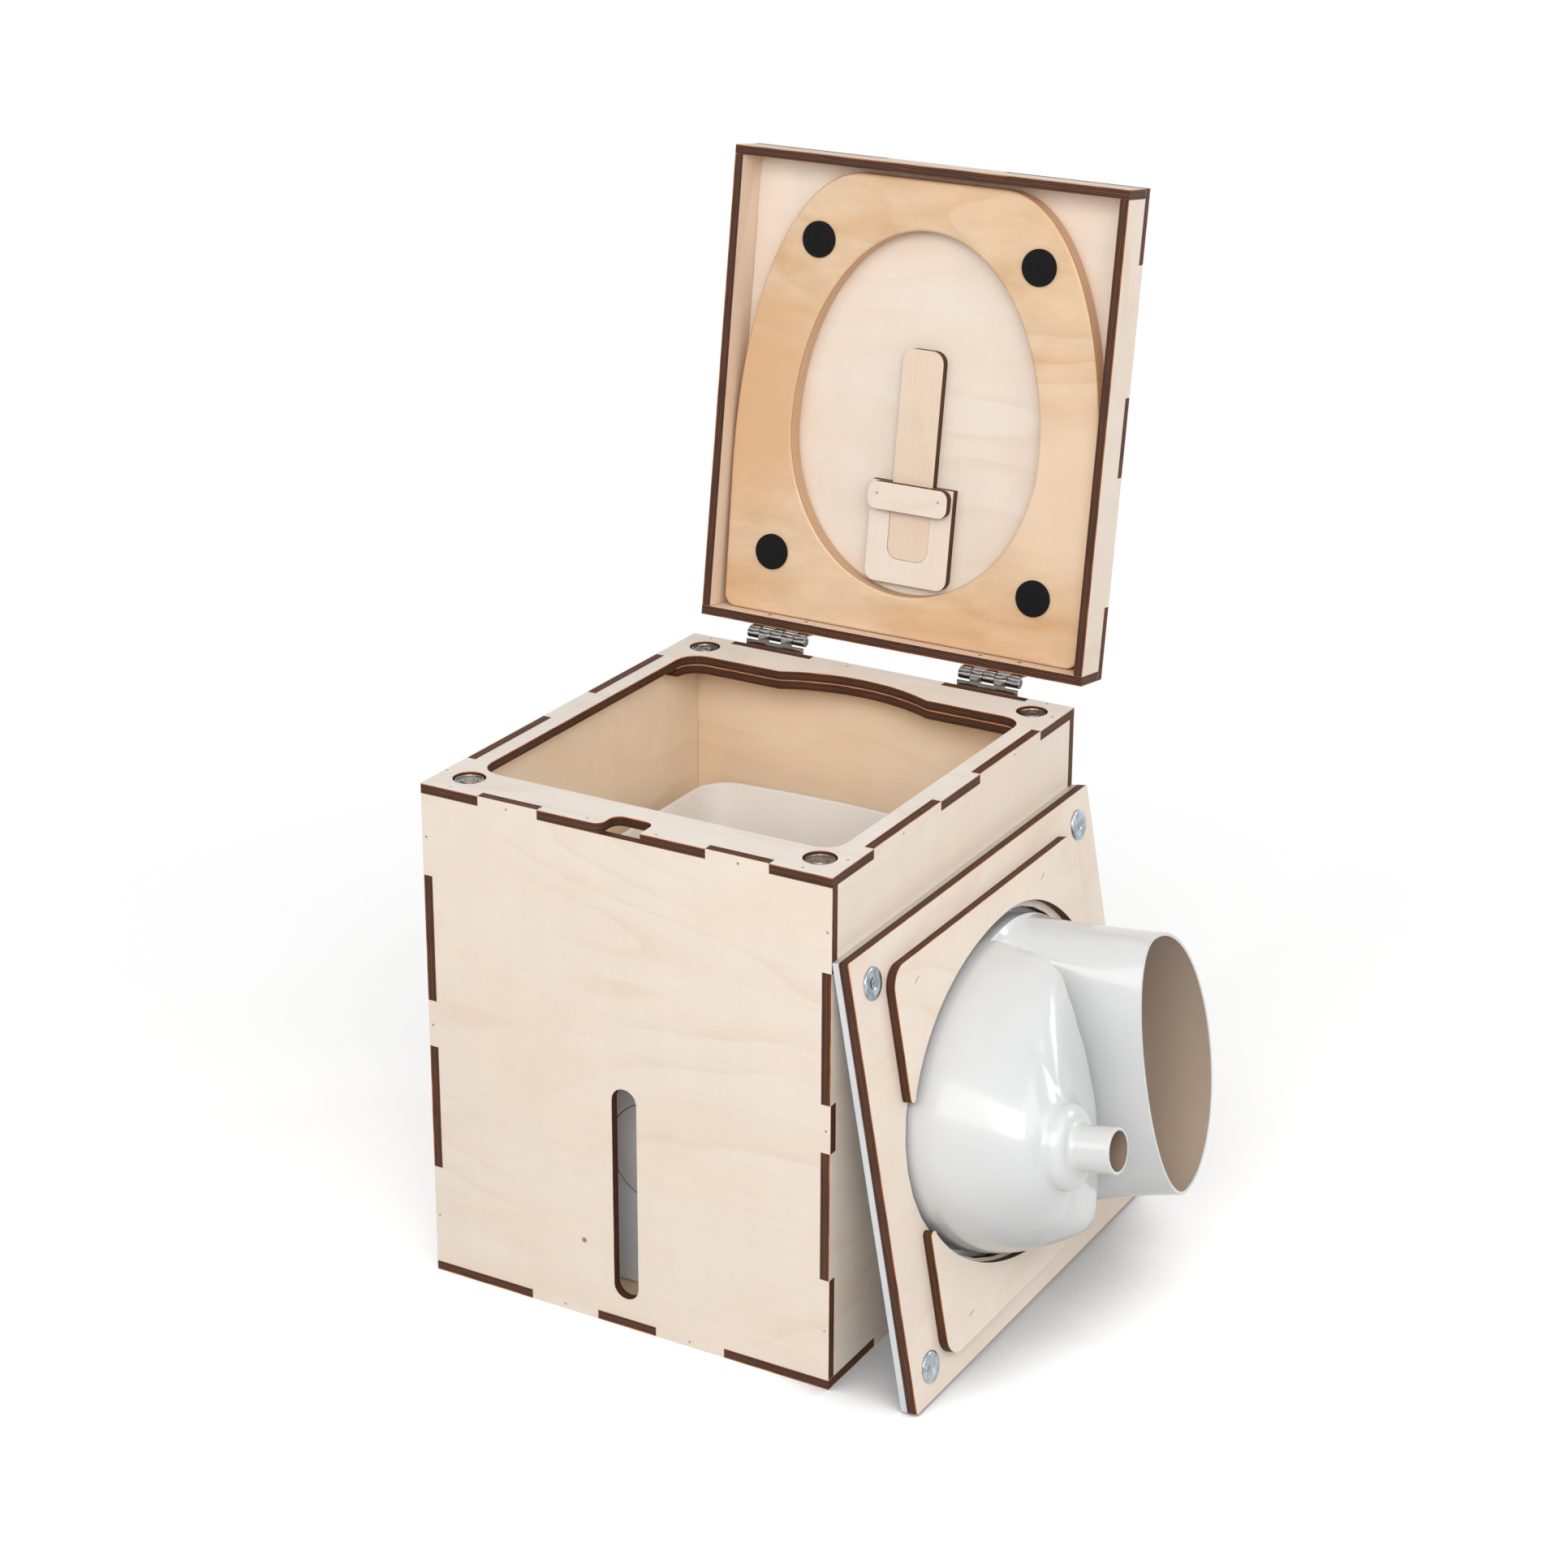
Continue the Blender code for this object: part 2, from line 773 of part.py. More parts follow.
def make_leaf(name, side, knuckles, frame, parent=None):
    """A hinge leaf below its pin. The frame's X runs along the pin, Y away from the wood and Z up."""
    middle = side * hinge_middle
    face = gap - pin_behind_box + leaf_thickness
    places = [(middle + away, -hinge_screw_drop) for away in (-hinge_screw_spread, hinge_screw_spread)]
    body = flat_solid(leaf_outline(middle, knuckles), leaf_thickness)
    leaf = add(name, body, "chrome", frame @ axes_at((0, face, 0), X, Z), parent)
    bore = circle((0, 0), pin_diameter + 2 * pin_play)
    for index in knuckles:
        low = middle - knuckle_length * (knuckle_count / 2 - index) + gap / 2
        body = flat_solid(circle((0, 0), barrel_diameter), knuckle_length - gap, [bore])
        made = add(f"{name}_knuckle_{index}", body, "chrome", frame @ axes_at((low, 0, 0), Y, Z), parent)
        combine(leaf, made, "UNION")
    for index, (x, z) in enumerate(places):
        sink_place = frame @ axes_at((x, face, z), X, -Z)
        made = add(f"{name}_sink_{index}", screw_room(leaf_thickness), "chrome", sink_place, parent)
        combine(leaf, made, "DIFFERENCE")


def make_hinges(lid):
    """Two loose-pin hinges: three knuckles of each are the lid's and two are the box's."""
    box_frame = Matrix.Translation(pin_place)
    lid_frame = Matrix.Rotation(math.pi, 4, "Y")
    length = knuckle_length * knuckle_count
    for word, side in (("left", -1), ("right", 1)):
        make_leaf("hinge_box_leaf_" + word, side, (1, 3), box_frame)
        make_leaf("hinge_lid_leaf_" + word, -side, (0, 2, 4), lid_frame, lid)
        pin = flat_solid(circle((0, 0), pin_diameter), length)
        low = pin_place + X * (side * hinge_middle - length / 2)
        add("hinge_pin_" + word, pin, "chrome", axes_at(low, Y, Z))


def make_hinge_screws(lid):
    """Screws through the leaves into the back panel and the lid's hinge-side wall."""
    face = leaf_thickness + gap - pin_behind_box
    drop = Z * hinge_screw_drop
    words = ("left_outer", "left_inner", "right_inner", "right_outer")
    for word, x in zip(words, hinge_screw_places()):
        place = X * x + Y * face
        inwards = axes_at((0, 0, 0), X, -Z)
        box_place = Matrix.Translation(pin_place + place - drop) @ inwards
        screw("box_leaf_screw_" + word, hinge_screw_length, box_place)
        screw("lid_leaf_screw_" + word, hinge_screw_length, Matrix.Translation(place + drop) @ inwards, lid)


# Lid, drawn closed about its pin


def from_pin(origin, x_axis, y_axis):
    """A frame of the closed lid, given in the box's frame and returned from the pin."""
    return Matrix.Translation(-pin_place) @ axes_at(origin, x_axis, y_axis)


def make_lid_top(lid):
    sides = notches(lid_side())
    ends = notches(lid_end())
    outline = board(-half_width, half_width, -half_depth, half_depth, ends, sides, ends, sides)
    low = rim_height + lid_height - ply
    add("lid_top", flat_solid(outline, ply), "birch", from_pin((0, 0, low), X, Y), lid)


def make_lid_end_walls(lid):
    """The walls at the hinge side and at the free side, as wide as the lid."""
    high = rim_height + lid_height - ply - gap
    above = tabs(lid_end(), ply + gap)
    outline = board(-half_width, half_width, rim_height, high, above=above)
    hinge_line = pin_place.z + hinge_screw_drop
    holes = [screw_hole((x, hinge_line)) for x in hinge_screw_places()]
    places = (("lid_front_wall", ply - half_depth, []), ("lid_back_wall", half_depth, holes))
    for name, y, cuts in places:
        add(name, flat_solid(outline, ply, cuts), "birch", from_pin((0, y, 0), X, Z), lid)


def make_lid_side_walls(lid):
    end = half_depth - ply - gap
    high = rim_height + lid_height - ply - gap
    above = tabs(lid_side(), ply + gap)
    outline = board(-end, end, rim_height, high, above=above)
    for name, x in (("lid_left_wall", -half_width), ("lid_right_wall", half_width - ply)):
        add(name, flat_solid(outline, ply), "birch", from_pin((x, 0, 0), Y, Z), lid)


def lid_floor():
    """The frame of the lid's inner face: X across, Y from the hinge side on, Z out of the lid."""
    inner = rim_height + lid_height - ply
    return from_pin((0, half_depth, inner), X, -Y)


def seat_outline():
    """The seat's edge from the middle of its hinge side round, anticlockwise."""
    length = seat_high - seat_low
    foot = seat_half_width - seat_foot_draw
    corner = arc((foot - seat_corner, seat_low + seat_corner), seat_corner, -90, 0)
    start = (seat_half_width, seat_low + length * seat_straight_share)
    first = (seat_half_width, seat_low + length * seat_bend_share)
    second = (seat_half_width * seat_nose_bend_share, seat_high)
    end = (seat_half_width * seat_nose_share, seat_high)
    side = []
    for step in range(2 * corner_steps + 1):
        t = step / (2 * corner_steps)
        weights = ((1 - t) ** 3, 3 * t * (1 - t) ** 2, 3 * t**2 * (1 - t), t**3)
        controls = (start, first, second, end)
        side.append(tuple(sum(w * point[axis] for w, point in zip(weights, controls)) for axis in (0, 1)))
    right = corner + side
    return right + [(-x, y) for x, y in right[::-1]]


def seat_hole():
    """The seat's hole, an egg with its widest place nearer the hinge side."""
    turned_egg = egg(seat_hole_low, seat_hole_middle, seat_hole_high, seat_half_width - seat_rim_side)
    return [(-y, x) for x, y in turned_egg]


def eased_rings(outline, thickness, radius, sign):
    """Rings of an edge rounded over at both faces, drawn in (sign -1) or flared out (sign 1)."""
    rings = []
    for step in range(corner_steps // 2 + 1):
        turn = math.radians(90 * step / (corner_steps // 2))
        rings.append((radius * (1 - math.sin(turn)), radius * (1 - math.cos(turn))))
    low = [raise_ring(grown(outline, sign * inset), height) for inset, height in rings]
    high = [raise_ring(grown(outline, sign * inset), thickness - height) for inset, height in rings[::-1]]
    return low, high


def make_seat(floor, lid):
    low, high = eased_rings(seat_outline(), seat_thickness, seat_round, -1)
    place = floor @ Matrix.Translation((0, 0, gap))
    seat = add("seat_ring", skin(low + high), "seat_birch", place, lid)
    low, high = eased_rings(seat_hole(), seat_thickness, seat_round, 1)
    first = [(x, y, -overrun) for x, y, _ in low[0]]
    last = [(x, y, seat_thickness + overrun) for x, y, _ in high[-1]]
    hole = add("seat_hole", skin([first, *low, *high, last]), "seat_birch", place, lid)
    combine(seat, hole, "DIFFERENCE")


def make_buffers(floor, lid):
    """Four rubber discs on the seat's underside."""
    radius = buffer_diameter / 2
    profile = [
        (0, 0),
        (radius, 0),
        (radius, buffer_thickness - buffer_round),
        (radius - buffer_round, buffer_thickness),
        (0, buffer_thickness),
    ]
    height = seat_thickness + gap + gap
    places = {
        "low": (seat_half_width - buffer_low[0], seat_low + buffer_low[1]),
        "high": (seat_half_width - buffer_high[0], seat_high - buffer_high[1]),
    }
    for word, (x, v) in places.items():
        for hand, sign in (("left", -1), ("right", 1)):
            place = floor @ Matrix.Translation((sign * x, v, height))
            add(f"seat_buffer_{word}_{hand}", turned(profile), "rubber", place, lid)


def pocket_path():
    """The slat's U-shaped pocket in the holder, from its upper right end round to the left."""
    half = slat_half_width + gap
    low = pocket_low
    radius = slat_corner + gap
    return (
        [(-half, holder_high)]
        + arc((radius - half, low + radius), radius, 180, 270)
        + arc((half - radius, low + radius), radius, -90, 0)
        + [(half, holder_high)]
    )


def make_slat_holder(floor, lid):
    """A base with the pocket for the slat, and a bar across it that keeps the slat in."""
    low = rounded(-holder_half_width, holder_half_width, holder_low, holder_high, holder_corner)
    feet = low[3 * (corner_steps + 1) :] + low[: corner_steps + 1]
    outline = feet + [(holder_half_width, holder_high)] + pocket_path()[::-1] + [(-holder_half_width, holder_high)]
    place = floor @ Matrix.Translation((0, 0, gap))
    add("slat_holder_base", flat_solid(outline, ply), "birch", place, lid)
    half = holder_half_width - bar_inset
    bar = rounded(-half, half, holder_high - bar_length, holder_high, bar_corner)
    place = floor @ Matrix.Translation((0, 0, gap + ply + gap))
    add("slat_holder_bar", flat_solid(bar, ply), "birch", place, lid)


def make_slat(floor, lid):
    low = pocket_low + gap
    outline = rounded(-slat_half_width, slat_half_width, low, low + slat_length, slat_corner)
    place = floor @ Matrix.Translation((0, 0, gap))
    add("slat", flat_solid(outline, slat_thickness), "birch", place, lid)


# Bucket and canister


def bucket_section(inset):
    """The bucket's outline, its rear side bowed, moved inwards by a distance."""
    half = bucket_half_width - inset
    front, back = bucket_front + inset, bucket_back - inset
    points = rounded(-half, half, front, back, bucket_corner - inset)
    flat = half - (bucket_corner - inset)
    radius = (flat**2 + bucket_bow**2) / (2 * bucket_bow)
    spread = math.degrees(math.asin(flat / radius))
    bow = arc((0, back + bucket_bow - radius), radius, 90 - spread, 90 + spread, 2 * corner_steps)
    cut = 2 * (corner_steps + 1)
    return points[:cut] + bow[1:-1] + points[cut:]


def make_bucket():
    """Tapered walls on a rounded foot, with a small lip round the rim."""
    base, high, wall = ply + gap, ply + gap + bucket_height, bucket_wall
    foot, draft, lip = bucket_foot_round, bucket_draft, bucket_lip
    rings = [
        (draft + foot, base),
        (draft + foot / 3, base + foot / 3),
        (draft, base + foot),
        (lip, high - bucket_lip_drop),
        (0, high - bucket_lip_drop),
        (0, high),
        (lip + wall, high),
        (draft + wall, base + foot),
        (draft + wall + foot / 3, base + wall + foot / 3),
        (draft + wall + foot, base + wall),
    ]
    solid = skin([raise_ring(bucket_section(inset), height) for inset, height in rings])
    add("solids_bucket", solid, "bucket_plastic", Matrix())


def canister_rings(inset):
    """The canister's body, drawn in by a wall thickness."""
    half = canister_half_width - inset
    front, back = canister_front + inset, canister_back - inset
    corner = canister_corner - inset
    low, high = ply + gap + inset, ply + gap + canister_height - inset
    foot, top = canister_floor_round - inset, canister_round - inset
    levels = [(foot, low), (foot / 3, low + foot / 3), (0, low + foot)]
    levels += [(0, high - top), (top / 3, high - top / 3), (top, high)]
    outline = rounded(-half, half, front, back, corner)
    return [raise_ring(grown(outline, -draw), height) for draw, height in levels]


def neck_middle():
    """The neck is under the bowl's tube when the separator lies on the box."""
    return (0, tube_middle - half_depth)


def make_canister():
    """A flat can with a wide neck and a moulded grip on each side of it."""
    top = ply + gap + canister_height
    inner = neck_bore / 2
    outer = inner + neck_wall
    x, y = neck_middle()
    can = add("urine_canister", skin(canister_rings(0)), "canister_plastic", Matrix())
    bead_low = neck_height - neck_bead_height
    profile = [
        (0, -canister_round),
        (outer, -canister_round),
        (outer, bead_low),
        (outer + neck_bead, bead_low),
        (outer + neck_bead, neck_height),
        (0, neck_height),
    ]
    neck = add("canister_neck", turned(profile), "canister_plastic", Matrix.Translation((x, y, top)))
    combine(can, neck, "UNION")
    for sign in (-1, 1):
        grip = grip_outline()
        place = axes_at((x + sign * (grip_start + grip_end) / 2, y + grip_thickness / 2, top), X, Z)
        body = flat_solid(grip, grip_thickness)
        made = add(f"canister_grip_{sign + 1}", body, "canister_plastic", place)
        combine(can, made, "UNION")
    hollow = add("canister_hollow", skin(canister_rings(canister_wall)), "canister_plastic", Matrix())
    combine(can, hollow, "DIFFERENCE")
    bore = [(0, -canister_round), (inner, -canister_round), (inner, neck_height + overrun), (0, neck_height + overrun)]
    made = add("canister_bore", turned(bore), "canister_plastic", Matrix.Translation((x, y, top)))
    combine(can, made, "DIFFERENCE")


def grip_outline():
    """A low arch, seen from the front: its feet go into the can's top."""
    half, thick = (grip_end - grip_start) / 2, grip_thickness
    outer = rounded(-half, half, -canister_wall / 2, grip_height, thick)
    cut = corner_steps + 1
    upper = outer[cut : 3 * cut]
    inner_half, inner_high = half - thick, grip_height - thick
    return (
        [(-half, -canister_wall / 2), (-inner_half, -canister_wall / 2), (-inner_half, inner_high)]
        + [(inner_half, inner_high), (inner_half, -canister_wall / 2), (half, -canister_wall / 2)]
        + upper
    )


# Separator, drawn flat in the plate's frame


def plate_frame():
    """The white face's lower front corner is on the floor, its upper edge against the box."""
    slope = Vector((-math.sin(plate_lean), 0, math.cos(plate_lean)))
    foot = half_width + gap + box_width * math.sin(plate_lean)
    return axes_at((foot, -half_depth, 0), Y, slope)


def across(points):
    """Points about the plate's middle line, moved into its frame."""
    return moved(points, y=half_width)


def to_plate(points):
    """Points of the box seen from above, as they lie on the plate that covers it."""
    return [(y + half_depth, x + half_width) for x, y in points]


def level(height):
    return Matrix.Translation((0, 0, height))


def bowl_hole():
    return grown(across(egg(*bowl_egg)), bowl_hole_play)


def make_plate(frame):
    """A white sheet over a plywood board, both as large as the box's top."""
    outline = rounded(0, box_depth, 0, box_width, plate_corner, 2)
    holes = [screw_hole(place) for place in to_plate(magnet_places().values())]
    sheet = flat_solid(outline, sheet_thickness, [bowl_hole()])
    add("separator_sheet", sheet, "white_laminate", level(0), frame)
    wood = flat_solid(outline, board_thickness, [bowl_hole(), *holes])
    add("separator_board", wood, "birch", level(white_to_board), frame)


def ring_outline():
    """The box's mouth less a clearance, with an egg cut out of it that opens to the front below the bowl."""
    front = front_rail + ring_clearance
    middle = egg_middle + ring_egg_room
    reach = middle - egg_front + ring_egg_front_room
    back = box_depth - back_rail + bay_rise - ring_back_width
    half = egg_half_width + ring_egg_room
    turn = math.degrees(math.acos((middle - front - ring_tip) / reach))
    half_gap = half * math.sin(math.radians(turn))
    egg_arcs = ((reach, 180 + turn, 270), (back - middle, -90, 90), (reach, 90, 180 - turn))
    inner = []
    for half_length, start, end in egg_arcs:
        inner += oval_arc(middle, half_length, half, start, end, egg_steps // 4)[1:]
    tip = ring_tip / 2
    lower_tip = arc((front + tip, -half_gap), tip, 180, 0)
    upper_tip = arc((front + tip, half_gap), tip, 0, -180)
    # Seen on the plate the mouth runs from the front's upper part round the rear to its lower part.
    return to_plate(mouth(ring_clearance)) + across(lower_tip + inner + upper_tip[1:])


def make_ring(frame):
    """The locating ring that drops into the box's mouth."""
    add("separator_ring", flat_solid(ring_outline(), ply), "birch", level(ring_start), frame)


def make_strikes(frame):
    """Steel discs on the board that meet the box's magnets, each with its screw."""
    radius = strike_diameter / 2
    hole = screw_shank_diameter / 2 + screw_clearance
    head = screw_head_diameter / 2 + screw_clearance
    profile = [
        (hole, 0),
        (radius, 0),
        (radius, strike_thickness - strike_edge),
        (radius - strike_edge, strike_thickness),
        (head, strike_thickness),
        (hole, strike_thickness - screw_head_height),
    ]
    for corner, place in zip(magnet_places(), to_plate(magnet_places().values())):
        at = Matrix.Translation((*place, ring_start))
        add("strike_disc_" + corner, turned_ring(profile), "zinc", at, frame)
        screw("strike_screw_" + corner, strike_screw_length, at @ level(strike_thickness), frame)


def oval_reach(origin, half_length, half_across, angle):
    """Distance from a point on an oval's long axis to its edge at an angle, the point given from its middle."""
    along, side = math.cos(angle), math.sin(angle)
    # The ray meets the oval where a t^2 + 2 b t + c is zero.
    a = (along / half_length) ** 2 + (side / half_across) ** 2
    b = origin * along / half_length**2
    c = (origin / half_length) ** 2 - 1
    return (math.sqrt(b * b - a * c) - b) / a


def egg_reach(shape, origin, angle):
    """The same for an egg, whose front and back halves are of different lengths."""
    front, middle, back, half_across = shape
    reach = oval_reach(origin - middle, back - middle, half_across, angle)
    if origin + reach * math.cos(angle) > middle:
        return reach
    return oval_reach(origin - middle, middle - front, half_across, angle)


def soft_least(first, second, blend):
    """The lesser of two lengths, with a round turn where they are within a blend of each other."""
    overlap = max(blend - abs(first - second), 0)
    return min(first, second) - overlap**2 / (4 * blend)


def side_reach(origin, wall, angle):
    """Distance from a point to a straight side across the plate, endless where the ray leads away."""
    toward = math.cos(angle) * math.copysign(1, wall - origin)
    return abs(wall - origin) / toward if toward > 0 else math.inf


def plan_reach(origin, wall, angle):
    """Distance from a point to the bowl's egg, less the ledge, or to the straight side where that is nearer."""
    away = egg_reach(bowl_egg, origin, angle) - ledge
    return soft_least(away, side_reach(origin, wall, angle), plan_blend)


def angles():
    return [math.tau * step / egg_steps for step in range(egg_steps)]


def ring_at(origin, reaches, depths):
    points = zip(angles(), reaches, depths)
    return [
        (origin + reach * math.cos(angle), tube_across + reach * math.sin(angle), depth)
        for angle, reach, depth in points
    ]


def funnel_drop(angle, reach):
    """How far the urine funnel is below the basin's floor: its flank, its shelf or its rear side."""
    whole = funnel_depth - basin_depth
    away = egg_reach(bowl_egg, tube_middle, angle) - ledge
    length = min(away - collar_radius, flank_length)
    steepest = 1 - min(max((away - reach) / length, 0), 1)
    flank = whole * (1 - steepest**flank_power) ** (1 / flank_power)
    shelf = whole - funnel_fall_share * (reach - collar_radius)
    rear = rear_rise_share * (funnel_end - tube_middle - reach * math.cos(angle))
    return max(soft_least(soft_least(flank, shelf, ridge_blend), rear, ridge_blend), 0)


def funnel_rings(wall, start):
    """The funnel's rings from the egg in to the collar, moved inwards by a wall."""
    wide = [plan_reach(tube_middle, funnel_end, angle) for angle in angles()]
    rings = [ring_at(tube_middle, [reach - wall for reach in wide], [start] * egg_steps)]
    for share in funnel_shares:
        reaches = [collar_radius + (reach - collar_radius) * share for reach in wide]
        depths = [basin_depth - wall + funnel_drop(angle, reach) for angle, reach in zip(angles(), reaches)]
        rings.append(ring_at(tube_middle, [reach - wall for reach in reaches], depths))
    return rings


def chute_rings(wall, start, end):
    """The solids chute: the rear of the egg, drawn to an egg-shaped mouth, and moved inwards by a wall."""
    wide = [plan_reach(chute_middle, chute_start, angle) - wall for angle in angles()]
    narrow = [egg_reach(chute_mouth, chute_middle, angle) - wall for angle in angles()]
    rings = [ring_at(chute_middle, wide, [start] * egg_steps)]
    for share in chute_shares:
        blend = share**chute_taper_power
        reaches = [first + (last - first) * blend for first, last in zip(wide, narrow)]
        depth = basin_depth + (chute_depth - basin_depth) * share
        rings.append(ring_at(chute_middle, reaches, [depth if share < 1 else end] * egg_steps))
    return rings


def basin_rings():
    outline = across(egg(*bowl_egg))
    levels = [
        (flange_width, -gap - bowl_wall),
        (flange_width, -gap),
        (0, -gap),
        (0, basin_depth - basin_round),
        (-basin_round / 3, basin_depth - basin_round / 3),
        (-basin_round, basin_depth),
    ]
    return [raise_ring(grown(outline, out), depth) for out, depth in levels]


def basin_hollow():
    outline = across(egg(*bowl_egg))
    levels = [
        (-bowl_wall, -gap - bowl_wall - overrun),
        (-bowl_wall, basin_depth - basin_round),
        (-bowl_wall - basin_round / 3, basin_depth - bowl_wall),
    ]
    return [raise_ring(grown(outline, out), depth) for out, depth in levels]


def spout_profile(wall, start, end):
    """The collar and the tube of the urine funnel, moved inwards by a wall, from one depth to another."""
    tube = tube_diameter / 2 - wall
    collar = collar_radius - wall
    return [
        (0, start),
        (collar, start),
        (collar, collar_depth - collar_shoulder - wall),
        (collar - collar_shoulder / 3, collar_depth - collar_shoulder / 3 - wall),
        (collar - collar_shoulder, collar_depth - wall),
        (tube, tube_start - wall),
        (tube, end),
        (0, end),
    ]


def make_bowl(frame):
    """Flange and basin, with the urine funnel and its tube and the solids chute below, all one moulding."""
    bowl = add("separator_bowl", skin(basin_rings()), "grey_plastic", level(0), frame, 40)
    inside = basin_depth - bowl_wall
    below = inside + bowl_wall / 3
    above = inside - bowl_wall / 3
    at_tube = Matrix.Translation((tube_middle, tube_across, 0))
    pieces = (
        ("funnel", skin(funnel_rings(0, below)), level(0), "UNION"),
        ("chute", skin(chute_rings(0, below, chute_depth)), level(0), "UNION"),
        ("spout", turned(spout_profile(0, inside, tube_depth)), at_tube, "UNION"),
        ("basin_hollow", skin(basin_hollow()), level(0), "DIFFERENCE"),
        ("funnel_hollow", skin(funnel_rings(bowl_wall, above)), level(0), "DIFFERENCE"),
        ("chute_hollow", skin(chute_rings(bowl_wall, above, chute_depth + overrun)), level(0), "DIFFERENCE"),
        ("spout_bore", turned(spout_profile(tube_wall, inside, tube_depth + overrun)), at_tube, "DIFFERENCE"),
    )
    for name, body, place, operation in pieces:
        combine(bowl, add("bowl_" + name, body, "grey_plastic", place, frame), operation)


def build():
    for old in list(bpy.data.objects):
        bpy.data.objects.remove(old)
    make_materials()
    make_top_panel()
    make_bottom_panel()
    make_front_panel()
    make_back_panel()
    make_side_panels()
    make_back_batten()
    make_corner_blocks()
    make_magnets()
    lid = empty("lid_hinge_axis", Matrix.Translation(pin_place) @ Matrix.Rotation(-lid_opening, 4, "X"))
    make_hinges(lid)
    make_hinge_screws(lid)
    make_lid_top(lid)
    make_lid_end_walls(lid)
    make_lid_side_walls(lid)
    floor = lid_floor()
    make_seat(floor, lid)
    make_buffers(floor, lid)
    make_slat_holder(floor, lid)
    make_slat(floor, lid)
    make_bucket()
    make_canister()
    frame = empty("separator_frame", plate_frame())
    make_plate(frame)
    make_ring(frame)
    make_strikes(frame)
    make_bowl(frame)


build()
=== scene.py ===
"""The looks of a separating dry toilet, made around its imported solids. Metres, +Z up, its front faces -Y."""

import math
import random

import bmesh
import bpy
from mathutils import Matrix, Vector


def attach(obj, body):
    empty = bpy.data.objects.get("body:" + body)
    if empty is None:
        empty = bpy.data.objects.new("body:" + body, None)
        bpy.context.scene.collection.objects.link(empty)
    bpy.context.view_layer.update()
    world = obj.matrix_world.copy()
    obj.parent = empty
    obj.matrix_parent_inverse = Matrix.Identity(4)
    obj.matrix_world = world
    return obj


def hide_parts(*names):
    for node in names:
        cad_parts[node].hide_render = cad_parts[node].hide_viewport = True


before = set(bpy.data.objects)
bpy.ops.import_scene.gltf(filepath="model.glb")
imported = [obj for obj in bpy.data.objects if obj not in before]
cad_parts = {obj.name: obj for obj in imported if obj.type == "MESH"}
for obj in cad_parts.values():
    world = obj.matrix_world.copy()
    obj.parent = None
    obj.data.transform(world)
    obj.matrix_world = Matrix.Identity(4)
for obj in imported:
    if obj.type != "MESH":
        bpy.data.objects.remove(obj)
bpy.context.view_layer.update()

# Sizes, as the solids have them
ply = 0.0085
gap = 0.0003
box_width, box_depth, box_height = 0.390, 0.4344, 0.4562
half_width, half_depth = box_width / 2, box_depth / 2
X, Y, Z = Vector((1, 0, 0)), Vector((0, 1, 0)), Vector((0, 0, 1))
hands = (("left", -1), ("right", 1))

# The lid's frame: its floor's middle at the hinge side, V along the lid and N out of it
lid_opening = math.radians(98.57)
pin_behind, pin_above = 0.0064, 0.0098
pin_place = Vector((0, half_depth + pin_behind, box_height + pin_above))
lid_turn = Matrix.Rotation(-lid_opening, 3, "X")
rim_height = box_height + 0.0153
lid_height = 0.0427
lid_v = lid_turn @ -Y
lid_n = lid_turn @ -Z
lid_origin = pin_place + lid_turn @ (Vector((0, half_depth, rim_height + lid_height - ply)) - pin_place)

# The plate's frame: its white face's lower front corner, U along it and W up it
plate_lean = math.radians(10)
plate_w = Vector((-math.sin(plate_lean), 0, math.cos(plate_lean)))
plate_origin = Vector((half_width + gap + box_width * math.sin(plate_lean), -half_depth, 0))
sheet_thickness, board_thickness = 0.0054, 0.0090
white_to_board = sheet_thickness + gap
ring_start = white_to_board + board_thickness + gap


def axes_at(origin, x_axis, y_axis):
    """The matrix of a frame with these two axes, its Z square to both."""
    turn = Matrix((x_axis, y_axis, x_axis.cross(y_axis))).transposed().to_4x4()
    return Matrix.Translation(origin) @ turn


lid_frame = axes_at(lid_origin, X, lid_v)
plate_frame = axes_at(plate_origin, Y, plate_w)


def lid_at(x, v, n):
    return lid_frame @ Vector((x, v, n))


# Colours and nodes. A colour of three numbers is as a screen shows it, 0 to 255.


def srgb(red, green, blue):
    """Such a colour in linear light."""
    shares = (value / 255 for value in (red, green, blue))
    return tuple(s / 12.92 if s <= 0.04045 else ((s + 0.055) / 1.055) ** 2.4 for s in shares) + (1,)


def even(share):
    """A grey of this share in linear light."""
    return (share, share, share, 1)


